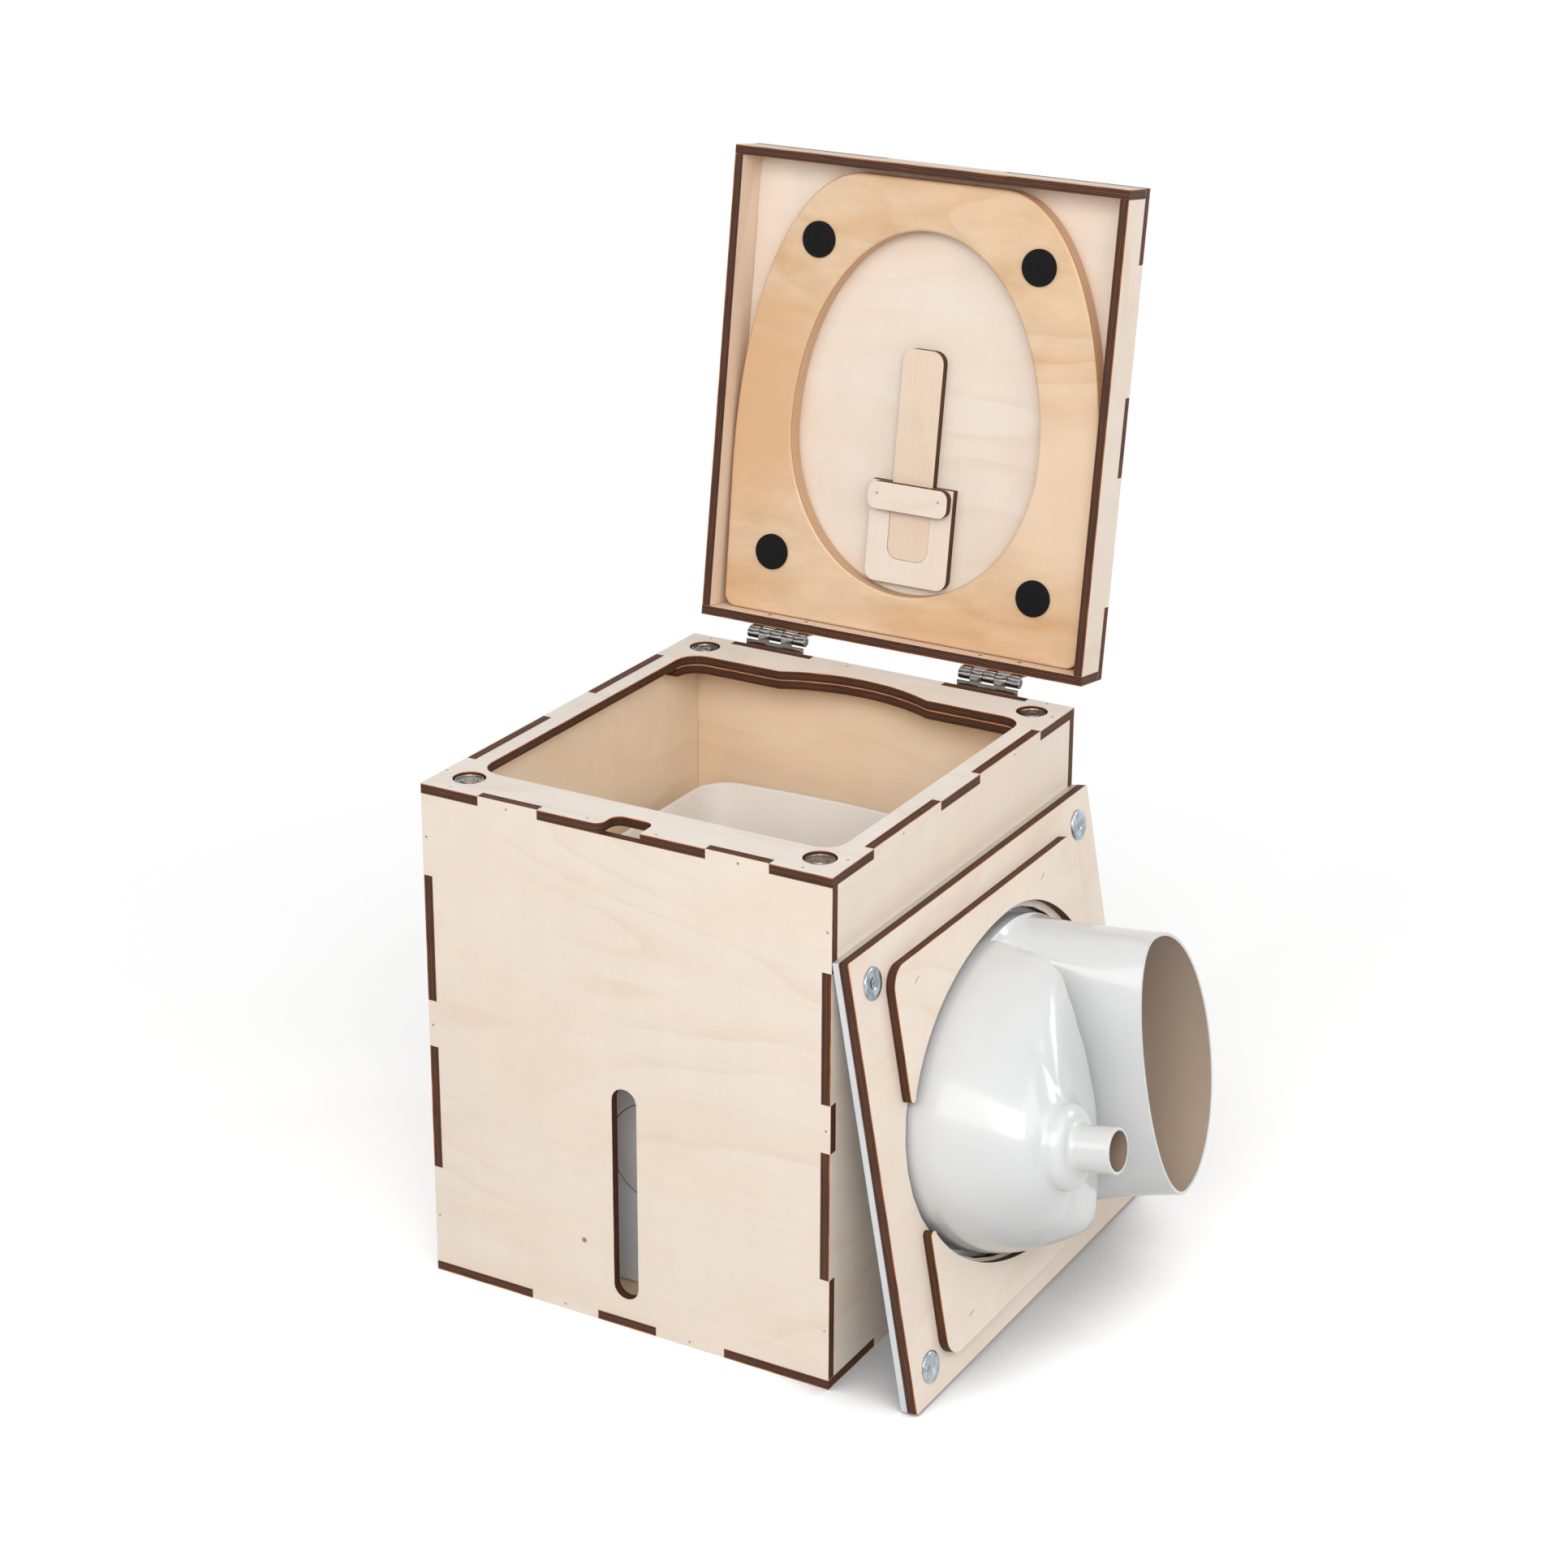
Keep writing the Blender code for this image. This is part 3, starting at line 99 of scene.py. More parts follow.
class Nodes:
    """Adds nodes to a tree. A value may be a number, a colour or another node's output."""

    def __init__(self, tree):
        self.tree = tree

    def put(self, socket, value):
        if isinstance(value, bpy.types.NodeSocket):
            self.tree.links.new(value, socket)
        else:
            socket.default_value = value

    def add(self, kind, inputs=None, **settings):
        made = self.tree.nodes.new("ShaderNode" + kind)
        for name, value in settings.items():
            setattr(made, name, value)
        for name, value in (inputs or {}).items():
            self.put(made.inputs[name], value)
        return made

    def math(self, operation, *values):
        return self.add("Math", dict(enumerate(values)), operation=operation).outputs[0]

    def times(self, first, second):
        return self.math("MULTIPLY", first, second)

    def plus(self, first, second):
        return self.math("ADD", first, second)

    def minus(self, first, second):
        return self.math("SUBTRACT", first, second)

    def distance(self, first, second):
        return self.add("VectorMath", {0: first, 1: second}, operation="DISTANCE").outputs["Value"]

    def mix(self, share, first, second, kind="MIX"):
        made = self.add("Mix", data_type="RGBA", blend_type=kind, clamp_factor=True)
        for index, value in ((0, share), (6, first), (7, second)):
            on_screen = isinstance(value, tuple) and len(value) == 3
            self.put(made.inputs[index], srgb(*value) if on_screen else value)
        return made.outputs[2]

    def dimmed(self, colour, share):
        grey = self.add("CombineXYZ", {"X": share, "Y": share, "Z": share}).outputs[0]
        return self.mix(1.0, colour, grey, "MULTIPLY")

    def ease(self, value, low, high, start=0.0, end=1.0):
        """From start to end, smoothly, as the value goes from low to high."""
        inputs = {"Value": value, "From Min": low, "From Max": high, "To Min": start, "To Max": end}
        return self.add("MapRange", inputs, interpolation_type="SMOOTHSTEP", clamp=True).outputs[0]

    def ramp(self, value, stops):
        """The colour at a value, between stops of (value, tone)."""
        made = self.add("ValToRGB", {"Fac": value})
        elements = made.color_ramp.elements
        for element, (at, tone) in zip(elements, (stops[0], stops[-1])):
            element.position, element.color = at, srgb(*tone)
        for at, tone in stops[1:-1]:
            elements.new(at).color = srgb(*tone)
        return made.outputs["Color"]

    def where(self):
        """The place of a point and the way it faces, on the object."""
        outputs = self.add("TexCoord").outputs
        return outputs["Object"], outputs["Normal"]

    def seen_from(self, vector, matrix, kind="POINT"):
        """A point or a direction, seen from a frame."""
        inverse = matrix.inverted()
        inputs = {"Vector": vector, "Rotation": inverse.to_euler()}
        if kind == "POINT":
            inputs["Location"] = inverse.translation
        return self.add("Mapping", inputs, vector_type=kind).outputs[0]

    def facing(self, normal, matrix):
        return self.parts(self.seen_from(normal, matrix, "VECTOR"))

    def parts(self, vector):
        return self.add("SeparateXYZ", {"Vector": vector}).outputs

    def noise(self, vector, scale=1.0, detail=2.0, rough=0.5, distortion=0.0):
        """Soft noise, its scale one number or one for each axis."""
        if isinstance(scale, tuple):
            vector, scale = self.add("Mapping", {"Vector": vector, "Scale": scale}).outputs[0], 1.0
        inputs = {"Vector": vector, "Scale": scale, "Detail": detail, "Roughness": rough, "Distortion": distortion}
        return self.add("TexNoise", inputs).outputs["Fac"]

    def shade(self, colour, rough=None, height=None, distance=0.0, strength=1.0):
        """Gives the shader its colour, and its roughness and bump where they vary."""
        inputs = self.tree.nodes["Principled BSDF"].inputs
        self.put(inputs["Base Color"], colour)
        if rough is not None:
            self.put(inputs["Roughness"], rough)
        if height is not None:
            bump = self.add("Bump", {"Height": height, "Distance": distance, "Strength": strength})
            self.put(inputs["Normal"], bump.outputs[0])


def material(name, **constants):
    """A material and its nodes, with the values that are the same all over set on its shader."""
    made = bpy.data.materials.new(name)
    made.use_nodes = True
    for key, value in constants.items():
        made.node_tree.nodes["Principled BSDF"].inputs[key.replace("_", " ")].default_value = value
    return made, Nodes(made.node_tree)


def speckled(name, dark, light, scale, rough):
    """A plain material between two tones."""
    made, nodes = material(name, Roughness=rough)
    nodes.shade(nodes.mix(nodes.noise(nodes.where()[0], scale, 3.0), dark, light))
    return made


# Plywood


def veneer(nodes, place, seed, pale, warm, figure, blotch, mottle):
    """A rotary-cut birch face: soft flame lines, warm patches and fine fibre. Gives colour and height."""
    place = nodes.add("Mapping", {"Vector": place, "Location": (seed * 0.37, seed * 0.61, seed * 0.83)}).outputs[0]
    hills = nodes.noise(place, (2.3, 7.0, 2.3), 1.8, 0.40, 0.25)
    across = nodes.times(nodes.parts(place)["Y"], 13.0)
    line = nodes.math("FRACT", nodes.plus(nodes.times(hills, 9.0), across))
    dark = nodes.math("POWER", nodes.minus(1.0, line), 3.0)
    dark = nodes.times(dark, nodes.ease(line, 0.0, 0.12))
    dark = nodes.times(dark, nodes.ease(nodes.noise(place, (4, 9, 4), 1.0), 0.35, 0.62))
    fibre = nodes.noise(place, (22, 1000, 900), 2.0, 0.6)
    fleck = nodes.ease(nodes.noise(place, (150, 1500, 1500), 1.0), 0.66, 0.78)
    cloud = nodes.ease(nodes.noise(place, (5, 16, 5), 3.0, 0.55), 0.36, 0.70)
    ripple = nodes.noise(place, (46, 13, 13), 2.0, 0.5)
    colour = nodes.mix(nodes.times(cloud, blotch), pale, warm)
    lined = nodes.mix(1.0, colour, (237, 220, 200), "MULTIPLY")
    colour = nodes.mix(nodes.times(dark, figure), colour, lined)
    share = nodes.minus(nodes.ease(fibre, 0.25, 0.75, 0.972, 1.014), nodes.times(fleck, 0.035))
    share = nodes.plus(share, nodes.ease(ripple, 0.3, 0.7, -0.012, 0.012))
    if mottle:
        mottling = nodes.noise(place, (26, 60, 30), 5.0, 0.65)
        share = nodes.plus(share, nodes.ease(mottling, 0.30, 0.68, mottle, -mottle))
    return nodes.dimmed(colour, share), nodes.plus(nodes.times(fibre, 0.5), nodes.times(dark, 0.4))


# From the inner face to the outer one
burnt_tones = (
    (0.00, (116, 64, 34)), (0.05, (120, 66, 34)), (0.11, (84, 43, 22)), (0.16, (34, 17, 9)), (0.26, (52, 28, 16)),
    (0.31, (130, 76, 44)), (0.36, (36, 18, 10)), (0.45, (58, 32, 19)), (0.50, (138, 90, 58)), (0.55, (38, 20, 11)),
    (0.65, (50, 27, 16)), (0.70, (122, 70, 40)), (0.75, (34, 17, 9)), (0.84, (76, 39, 21)), (0.90, (140, 76, 40)),
    (0.95, (190, 116, 70)), (1.00, (214, 154, 108)),
)


def burnt_plies(nodes, place, depth, seed):
    """A laser-cut edge: seven plies, near-black and brown in turn, tan by the outer face, streaked along the cut."""
    place = nodes.add("Mapping", {"Vector": place, "Location": (seed * 0.53, seed * 0.29, 0)}).outputs[0]
    wobble = nodes.ease(nodes.noise(place, (45, 45, 20), 1.0), 0.2, 0.8, -0.03, 0.03)
    streak = nodes.noise(place, (24, 24, 2400), 2.0, 0.6)
    patch = nodes.noise(place, (40, 40, 160), 3.0, 0.6)
    share = nodes.plus(nodes.ease(streak, 0.25, 0.75, 0.62, 1.08), nodes.ease(patch, 0.35, 0.7, -0.12, 0.14))
    return nodes.dimmed(nodes.ramp(nodes.plus(depth, wobble), burnt_tones), share), nodes.times(streak, 0.6)


def clean_plies(nodes, place, depth, plies, pale):
    """A sanded and varnished edge: pale and brown plies in turn, with dark glue between them."""
    layer = nodes.times(depth, plies)
    odd = nodes.ease(nodes.math("PINGPONG", nodes.plus(layer, 0.5), 1.0), 0.35, 0.6)
    glue = nodes.ease(nodes.math("PINGPONG", layer, 0.5), 0.10, 0.02, 0.0, 0.6)
    colour = nodes.mix(glue, nodes.mix(odd, (186, 134, 88), pale), (132, 84, 48))
    streak = nodes.noise(place, (60, 60, 1500), 2.0, 0.6)
    return nodes.dimmed(colour, nodes.ease(streak, 0.3, 0.7, 0.94, 1.03)), streak


def plywood(
    name, board, outer, inner, thickness=ply, spots=(), clean=0, figure=0.35, blotch=0.5, gloss=0.58, mottle=0.0
):
    """A board's plywood: its two faces' pale and warm colours, and its edges, burnt or with so many clean plies.
    The board's frame has X along the grain and Z from the inner face to the outer one."""
    made, nodes = material(name, Specular_IOR_Level=0.35)
    seed = float(sum(map(ord, name)) % 97)
    point, normal = nodes.where()
    facing, place = nodes.facing(normal, board)["Z"], nodes.seen_from(point, board)
    outside = nodes.math("GREATER_THAN", facing, 0.0)
    depth = nodes.math("DIVIDE", nodes.parts(place)["Z"], thickness)
    pale, warm = (nodes.mix(outside, inner[index], outer[index]) for index in (0, 1))
    face, face_height = veneer(nodes, place, seed, pale, warm, figure, blotch, mottle)
    for x, y, size, colour in spots:
        near = nodes.distance(place, (x, y, thickness))
        face = nodes.mix(nodes.ease(near, size, size * 0.35, 0.0, 0.85), face, colour)
    if clean:
        side, side_height = clean_plies(nodes, place, depth, clean, outer[0])
    else:
        side, side_height = burnt_plies(nodes, place, depth, seed)
    edge = nodes.ease(nodes.math("ABSOLUTE", facing), 0.62, 0.5)
    rough = nodes.plus(nodes.ease(face_height, 0.0, 1.0, gloss - 0.05, gloss + 0.08), nodes.times(edge, 0.08))
    height = nodes.add("Mix", {0: edge, 2: face_height, 3: side_height}, data_type="FLOAT").outputs[0]
    nodes.shade(nodes.mix(edge, face, side), rough, height, 0.00012, 0.55)
    return made


# Pale and warm colours of a board's face
cool = ((235, 227, 218), (231, 218, 204))
fair = ((237, 224, 210), (235, 214, 193))
rosy = ((233, 212, 190), (229, 200, 172))
# Inner faces in the box: a warmer veneer, made brighter and warmer still by painted bounce light.
honey_and_painted_bounce = ((246, 224, 197), (241, 209, 172))
seat_tones = ((228, 198, 165), (216, 175, 132))
knot = (-0.0415, 0.0720, 0.0034, (120, 78, 52))

# Each board's frame and the colours of its outer and its inner face
second_layer = (axes_at((0, 0, box_height - 2 * ply - gap), X, Y), honey_and_painted_bounce, honey_and_painted_bounce)
boards = {
    "top_panel": (axes_at((0, 0, box_height - ply), X, Y), cool, honey_and_painted_bounce),
    "bottom_panel": (axes_at((0, 0, ply), X, -Y), fair, honey_and_painted_bounce),
    "front_panel": (axes_at((0, ply - half_depth, 0), X, Z), fair, honey_and_painted_bounce),
    "back_panel": (axes_at((0, half_depth - ply, 0), X, -Z), fair, honey_and_painted_bounce),
    "left_panel": (axes_at((ply - half_width, 0, 0), Y, -Z), fair, honey_and_painted_bounce),
    "right_panel": (axes_at((half_width - ply, 0, 0), Y, Z), fair, honey_and_painted_bounce),
    "back_batten": second_layer,
    "corner_block_left": second_layer,
    "corner_block_right": second_layer,
    "lid_top": (axes_at(lid_at(0, 0, 0), X, -lid_v), fair, fair),
    "lid_left_wall": (axes_at(lid_at(ply - half_width, 0, 0), lid_v, -lid_n), fair, rosy),
    "lid_right_wall": (axes_at(lid_at(half_width - ply, 0, 0), lid_v, lid_n), fair, rosy),
    "lid_back_wall": (axes_at(lid_at(0, ply, 0), X, lid_n), fair, rosy),
    "lid_front_wall": (axes_at(lid_at(0, box_depth - ply, 0), X, -lid_n), fair, rosy),
    "slat_holder_base": (axes_at(lid_at(0, 0, gap), lid_v, -X), fair, fair),
    "slat_holder_bar": (axes_at(lid_at(0, 0, 2 * gap + ply), X, lid_v), fair, fair),
    "slat": (axes_at(lid_at(0, 0, gap), lid_v, -X), rosy, rosy),
    "separator_board": (plate_frame @ Matrix.Translation((0, 0, white_to_board)), fair, fair),
    "separator_ring": (plate_frame @ Matrix.Translation((0, 0, ring_start)), fair, fair),
}


def paint(node, finish):
    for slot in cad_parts[node].material_slots:
        slot.material = finish


def paint_boards():
    for name, board in boards.items():
        thickness = board_thickness if name == "separator_board" else ply
        spots = (knot,) if name == "front_panel" else ()
        paint(name, plywood("ply_" + name, *board, thickness, spots))


# Other materials


def laminate():
    """White. Its upper edge is a little darker: painted shade."""
    made, nodes = material("white_laminate", Roughness=0.35)
    place, normal = nodes.where()
    white = nodes.mix(nodes.ease(nodes.noise(place, 14.0, 3.0), 0.3, 0.7), (206, 210, 214), (213, 217, 220))
    # The edge that faces up along the plate is darkened: painted shade.
    cut = nodes.ease(nodes.facing(normal, plate_frame)["Y"], 0.6, 0.9)
    nodes.shade(nodes.mix(cut, white, (186, 180, 172)), None, nodes.noise(place, 900.0, 2.0), 0.00004, 0.5)
    return made


def metal(name, dark, light, rough, scale=160.0):
    """Bright plated steel with soft cloudy streaks."""
    made, nodes = material(name, Metallic=1.0)
    place = nodes.where()[0]
    cloud = nodes.noise(place, scale, 4.0, 0.6, 0.6)
    colour = nodes.mix(nodes.ease(cloud, 0.30, 0.72), dark, light)
    gloss = nodes.ease(cloud, 0.3, 0.7, rough * 0.85, rough * 1.2)
    nodes.shade(colour, gloss, nodes.noise(place, scale * 6, 2.0), 0.00003, 0.4)
    return made


# Painted reflection on the knuckles, from the side that faces down to the side that faces up.
painted_reflection_bands = (
    (0.0, (44, 38, 34)), (0.42, (70, 62, 56)), (0.50, (120, 116, 112)), (0.60, (206, 206, 206)),
    (0.72, (190, 190, 190)), (0.78, (46, 42, 39)), (0.91, (76, 72, 68)), (0.97, (186, 186, 186)),
    (1.0, (150, 150, 150)),
)


def make_chrome():
    """Bright chrome: dark and light bands of painted reflection, by which way a knuckle faces as it turns about the
    pin, and plain grey on the leaves.
    """
    made, nodes = material("chrome", Metallic=1.0, Roughness=0.12)
    place, normal = nodes.where()
    up = nodes.ease(nodes.parts(normal)["Z"], -1.0, 1.0)
    cloud = nodes.noise(place, 120.0, 3.0)
    painted_reflection = nodes.ramp(nodes.plus(up, nodes.ease(cloud, 0.3, 0.7, -0.03, 0.03)), painted_reflection_bands)
    offset = nodes.parts(nodes.add("VectorMath", {0: place, 1: pin_place}, operation="SUBTRACT").outputs[0])
    away = nodes.plus(*(nodes.times(offset[axis], offset[axis]) for axis in ("Y", "Z")))
    rolled = nodes.math("LESS_THAN", away, (barrel / 2 + 0.0002) ** 2)
    nodes.shade(nodes.mix(rolled, nodes.mix(cloud, (122, 119, 116), (150, 148, 146)), painted_reflection))
    return made


def plastic(name, shade, pale, rough, peel, painted_shade=None, **constants):
    """A moulded plastic with faint tone, gloss and surface variation."""
    made, nodes = material(name, **constants)
    place = nodes.where()[0]
    colour = nodes.mix(nodes.ease(nodes.noise(place, 9.0, 3.0, 0.5), 0.3, 0.7), shade, pale)
    # For the bowl, this paints shade and the wood's reflection inside its chute and tube.
    if painted_shade:
        colour = painted_shade(nodes, colour)
    gloss = nodes.ease(nodes.noise(place, 60.0, 3.0, 0.5), 0.3, 0.7, *rough)
    nodes.shade(colour, gloss, nodes.noise(place, 240.0, 2.0), peel, 0.35)
    return made


def painted_bowl_shade(nodes, colour):
    """Painted shade and painted reflection of the wood, laid deeper into the inside of the chute and of the tube."""
    point, normal = nodes.where()
    place, facing = nodes.parts(nodes.seen_from(point, plate_frame)), nodes.facing(normal, plate_frame)
    across = nodes.times(nodes.minus(place["Y"], half_width), facing["Y"])
    chute_deep, tube_deep = nodes.ease(place["Z"], 0.030, 0.085), nodes.math("GREATER_THAN", place["Z"], 0.134)
    # These tones are painted shade and painted reflection of the wood, not the plastic's own colour.
    for middle, low, high, painted_shade_share, tone in (
        (0.300, 0.225, 0.5, chute_deep, (188, 169, 151)),
        (tube_middle, 0.0, 0.140, tube_deep, (158, 138, 120)),
    ):
        along = nodes.times(nodes.minus(place["X"], middle), facing["X"])
        inwards = nodes.ease(nodes.plus(across, along), -0.001, -0.003)
        here = nodes.times(nodes.math("GREATER_THAN", place["X"], low), nodes.math("LESS_THAN", place["X"], high))
        colour = nodes.mix(nodes.times(inwards, nodes.times(here, painted_shade_share)), colour, tone)
    return colour


# Outlines and solids, as fine as the eye needs


def arc(centre, radius, start, end, steps):
    """Points from one angle to another, in degrees. The radius is one number or a pair, along X and along Y."""
    along, across = radius if isinstance(radius, tuple) else (radius, radius)
    turns = [math.radians(start + (end - start) * step / steps) for step in range(steps + 1)]
    return [(centre[0] + along * math.cos(turn), centre[1] + across * math.sin(turn)) for turn in turns]


def circle(centre, radius, steps):
    return arc(centre, radius, 0, 360, steps)[:-1]


def rounded(left, right, low, high, radius, steps=14):
    corners = (
        (right - radius, low + radius, -90),
        (right - radius, high - radius, 0),
        (left + radius, high - radius, 90),
        (left + radius, low + radius, 180),
    )
    return [point for x, y, start in corners for point in arc((x, y), radius, start, start + 90, steps)]


def bulge(half, rise, foot, steps):
    """A flat arc between two points half a width from the middle, that rises over the line between them."""
    radius = (half**2 + rise**2) / (2 * rise)
    spread = math.degrees(math.asin(half / radius))
    return arc((0, foot + rise - radius), radius, 90 - spread, 90 + spread, steps)


def quarter(radius):
    """How far in and how far up each step of a round is, from a floor to a wall."""
    turns = [math.radians(turn) for turn in range(0, 91, 15)]
    return [(radius * (1 - math.sin(turn)), radius * (1 - math.cos(turn))) for turn in turns]


def egg(front, middle, back, half_across, steps):
    """Two half ovals about one middle, outline anticlockwise."""
    rear = arc((middle, 0), (back - middle, half_across), -90, 90, steps // 2)
    return rear[:-1] + arc((middle, 0), (middle - front, half_across), 90, 270, steps // 2)[:-1]


def bezier(points, t):
    """The place at a share of a cubic curve."""
    weights = ((1 - t) ** 3, 3 * t * (1 - t) ** 2, 3 * t**2 * (1 - t), t**3)
    return tuple(sum(w * p[axis] for w, p in zip(weights, points)) for axis in range(2))


def grown(points, distance):
    """The anticlockwise outline with every point moved outwards by a distance."""
    made = []
    for index, here in enumerate(points):
        before, after = Vector(points[index - 1]), Vector(points[(index + 1) % len(points)])
        along = (after - before).normalized()
        made.append((here[0] + along.y * distance, here[1] - along.x * distance))
    return made


def raise_ring(outline, height):
    return [(x, y, height) for x, y in outline]


def flat_solid(outline, thickness, holes=()):
    """An outline, less its holes, extruded up from Z = 0."""
    body = bmesh.new()
    edges = []
    for loop in (outline, *holes):
        corners = [body.verts.new((x, y, 0)) for x, y in loop]
        edges += [body.edges.new((corners[index - 1], corners[index])) for index in range(len(corners))]
    bmesh.ops.triangle_fill(body, use_beauty=True, edges=edges)
    bmesh.ops.recalc_face_normals(body, faces=body.faces)
    made = bmesh.ops.extrude_face_region(body, geom=body.faces[:])
    raised = [item for item in made["geom"] if isinstance(item, bmesh.types.BMVert)]
    bmesh.ops.translate(body, verts=raised, vec=(0, 0, thickness))
    return body


def span(body, rings, closed=False):
    """Faces from each ring of points to the next one. Gives the rings' corners."""
    loops = [[body.verts.new(point) for point in ring] for ring in rings]
    for lower, upper in zip(loops, loops[1:] + loops[:1] if closed else loops[1:]):
        for index in range(len(lower)):
            body.faces.new((lower[index - 1], lower[index], upper[index], upper[index - 1]))
    return loops


def skin(rings):
    """A solid through rings of points, closed at both ends."""
    body = bmesh.new()
    loops = span(body, rings)
    body.faces.new(loops[0][::-1])
    body.faces.new(loops[-1])
    return body


def turned(profile, steps=64, ring=False):
    """A solid turned about Z from (radius, height) points, which start and end on the axis or close on a ring."""
    body = bmesh.new()
    tips = [] if ring else [body.verts.new((0, 0, profile[index][1])) for index in (0, -1)]
    wide = profile if ring else profile[1:-1]
    loops = span(body, [raise_ring(circle((0, 0), radius, steps), height) for radius, height in wide], ring)
    for tip, loop in zip(tips, (loops[0], loops[-1])):
        for index in range(steps):
            body.faces.new((tip, loop[index - 1], loop[index]))
    return body


def placed(name, data):
    """A new object of the scene."""
    made = bpy.data.objects.new(name, data)
    bpy.context.scene.collection.objects.link(made)
    return made


def finished(name, mesh, finish, smooth_below):
    mesh.name = name
    mesh.materials.clear()
    if finish:
        mesh.materials.append(finish)
    mesh.shade_smooth()
    mesh.set_sharp_from_angle(angle=math.radians(smooth_below))
    return placed(name, mesh)


def make(name, body, placing=Matrix(), finish=None, smooth_below=35, bevel=0.0):
    """A piece from a bmesh, its place kept in its mesh as the solids have it."""
    body.transform(placing)
    bmesh.ops.recalc_face_normals(body, faces=body.faces)
    mesh = bpy.data.meshes.new(name)
    body.to_mesh(mesh)
    body.free()
    made = finished(name, mesh, finish, smooth_below)
    if bevel:
        step = made.modifiers.new("bevel", "BEVEL")
        step.width, step.segments, step.limit_method = bevel, 3, "ANGLE"
        step.angle_limit = math.radians(40)
        step.harden_normals = True
    return made


def combined(name, first, others, finish, smooth_below=35):
    """One piece from a first object and (operation, object) steps, which are then removed."""
    for index, (operation, other) in enumerate(others):
        step = first.modifiers.new(f"step_{index}", "BOOLEAN")
        step.operation, step.object, step.solver = operation, other, "EXACT"
    bpy.context.view_layer.update()
    shown = first.evaluated_get(bpy.context.evaluated_depsgraph_get())
    mesh = bpy.data.meshes.new_from_object(shown)
    for old in (first, *(other for _, other in others)):
        bpy.data.objects.remove(old)
    return finished(name, mesh, finish, smooth_below)


def joined(name, bodies, finish):
    """One piece from bmeshes and their places."""
    whole = bmesh.new()
    for body, placing in bodies:
        body.transform(placing)
        mesh = bpy.data.meshes.new("part")
        body.to_mesh(mesh)
        body.free()
        whole.from_mesh(mesh)
        bpy.data.meshes.remove(mesh)
    return make(name, whole, finish=finish)


def stand_in(piece, body, slot, *nodes):
    """The piece rides on a body and stands for solids, which are hidden. The slot is not used."""
    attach(piece, body)
    if nodes:
        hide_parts(*nodes)


# Seat and buffers

seat_thickness, seat_round, seat_corner = 0.018, 0.003, 0.012
seat_low, seat_high = ply + 0.0003, box_depth - ply - 0.0050
seat_half, seat_foot, seat_nose = 0.184, 0.1815, 0.070  # half widths
seat_hole = (0.047, 0.190, 0.376, 0.1245)


def seat_outline(steps=40):
    corner = arc((seat_foot - seat_corner, seat_low + seat_corner), seat_corner, -90, 0, 12)
    curve = ((seat_half, 0.150), (seat_half, 0.328), (0.1287, seat_high), (seat_nose, seat_high))
    right = corner + [bezier(curve, step / steps) for step in range(steps + 1)]
    return right + [(-x, y) for x, y in right[::-1]]


def eased_rings(outline, sign):
    """The seat's edge, rounded over at both faces and drawn in (sign -1) or flared out (sign 1)."""
    rings = quarter(seat_round)
    low = [raise_ring(grown(outline, sign * inset), height) for inset, height in rings]
    high = [raise_ring(grown(outline, sign * inset), seat_thickness - height) for inset, height in rings[::-1]]
    return low, high


def make_seat():
    place, over = lid_frame @ Matrix.Translation((0, 0, gap)), 0.002
    low, high = eased_rings(seat_outline(), -1)
    seat = make("seat_blank", skin(low + high), place)
    low, high = eased_rings([(-y, x) for x, y in egg(*seat_hole, 144)], 1)
    first = [(x, y, -over) for x, y, _ in low[0]]
    last = [(x, y, seat_thickness + over) for x, y, _ in high[-1]]
    cutter = make("seat_cutter", skin([first, *low, *high, last]), place)
    spots = ((0.172, 0.165, 0.125, (238, 212, 184)), (-0.165, 0.200, 0.120, (218, 176, 132)))
    wood = plywood(
        "ply_seat", axes_at(lid_at(0, 0, gap), X, lid_v), seat_tones, seat_tones, seat_thickness, spots,
        clean=13, figure=0.6, blotch=1.0, gloss=0.36, mottle=0.05,
    )
    seat = combined("seat", seat, [("DIFFERENCE", cutter)], wood, 40)
    stand_in(seat, "seat", "seat_birch", "seat_ring")


def make_buffers():
    """Black rubber discs with a dimple in the middle."""
    made, nodes = material("rubber", Specular_IOR_Level=0.2)
    fine = nodes.noise(nodes.where()[0], 700.0, 3.0)
    nodes.shade(nodes.mix(fine, (3, 3, 4), (11, 11, 12)), nodes.ease(fine, 0.2, 0.8, 0.62, 0.85), fine, 0.00015, 0.6)
    radius, thick, ease, dimple = 0.0165, 0.0025, 0.0008, 0.0012
    edge = arc((radius - ease, thick - ease), ease, 0, 90, 6)
    profile = [(0, 0), (radius, 0), *edge, (dimple, thick), (dimple * 0.8, thick - 0.0006), (0, thick - 0.0009)]
    for word, (x, v) in (("low", (0.1337, 0.0668)), ("high", (0.1100, 0.3574))):
        for hand, sign in hands:
            at = lid_frame @ Matrix.Translation((sign * x, v, seat_thickness + 2 * gap))
            disc = make(f"buffer_{word}_{hand}", turned(profile), at, made)
            stand_in(disc, "seat", "rubber", f"seat_buffer_{word}_{hand}")


# Locating ring

ring_half, ring_front, ring_back, ring_corner = 0.170, 0.0487, 0.0507, 0.019  # front and back from the box's
bay_half, bay_rise = 0.075, 0.0178
ring_egg_middle, ring_egg_reach, ring_egg_half, ring_egg_back, ring_tip = 0.250, 0.212, 0.147, 0.391, 0.004


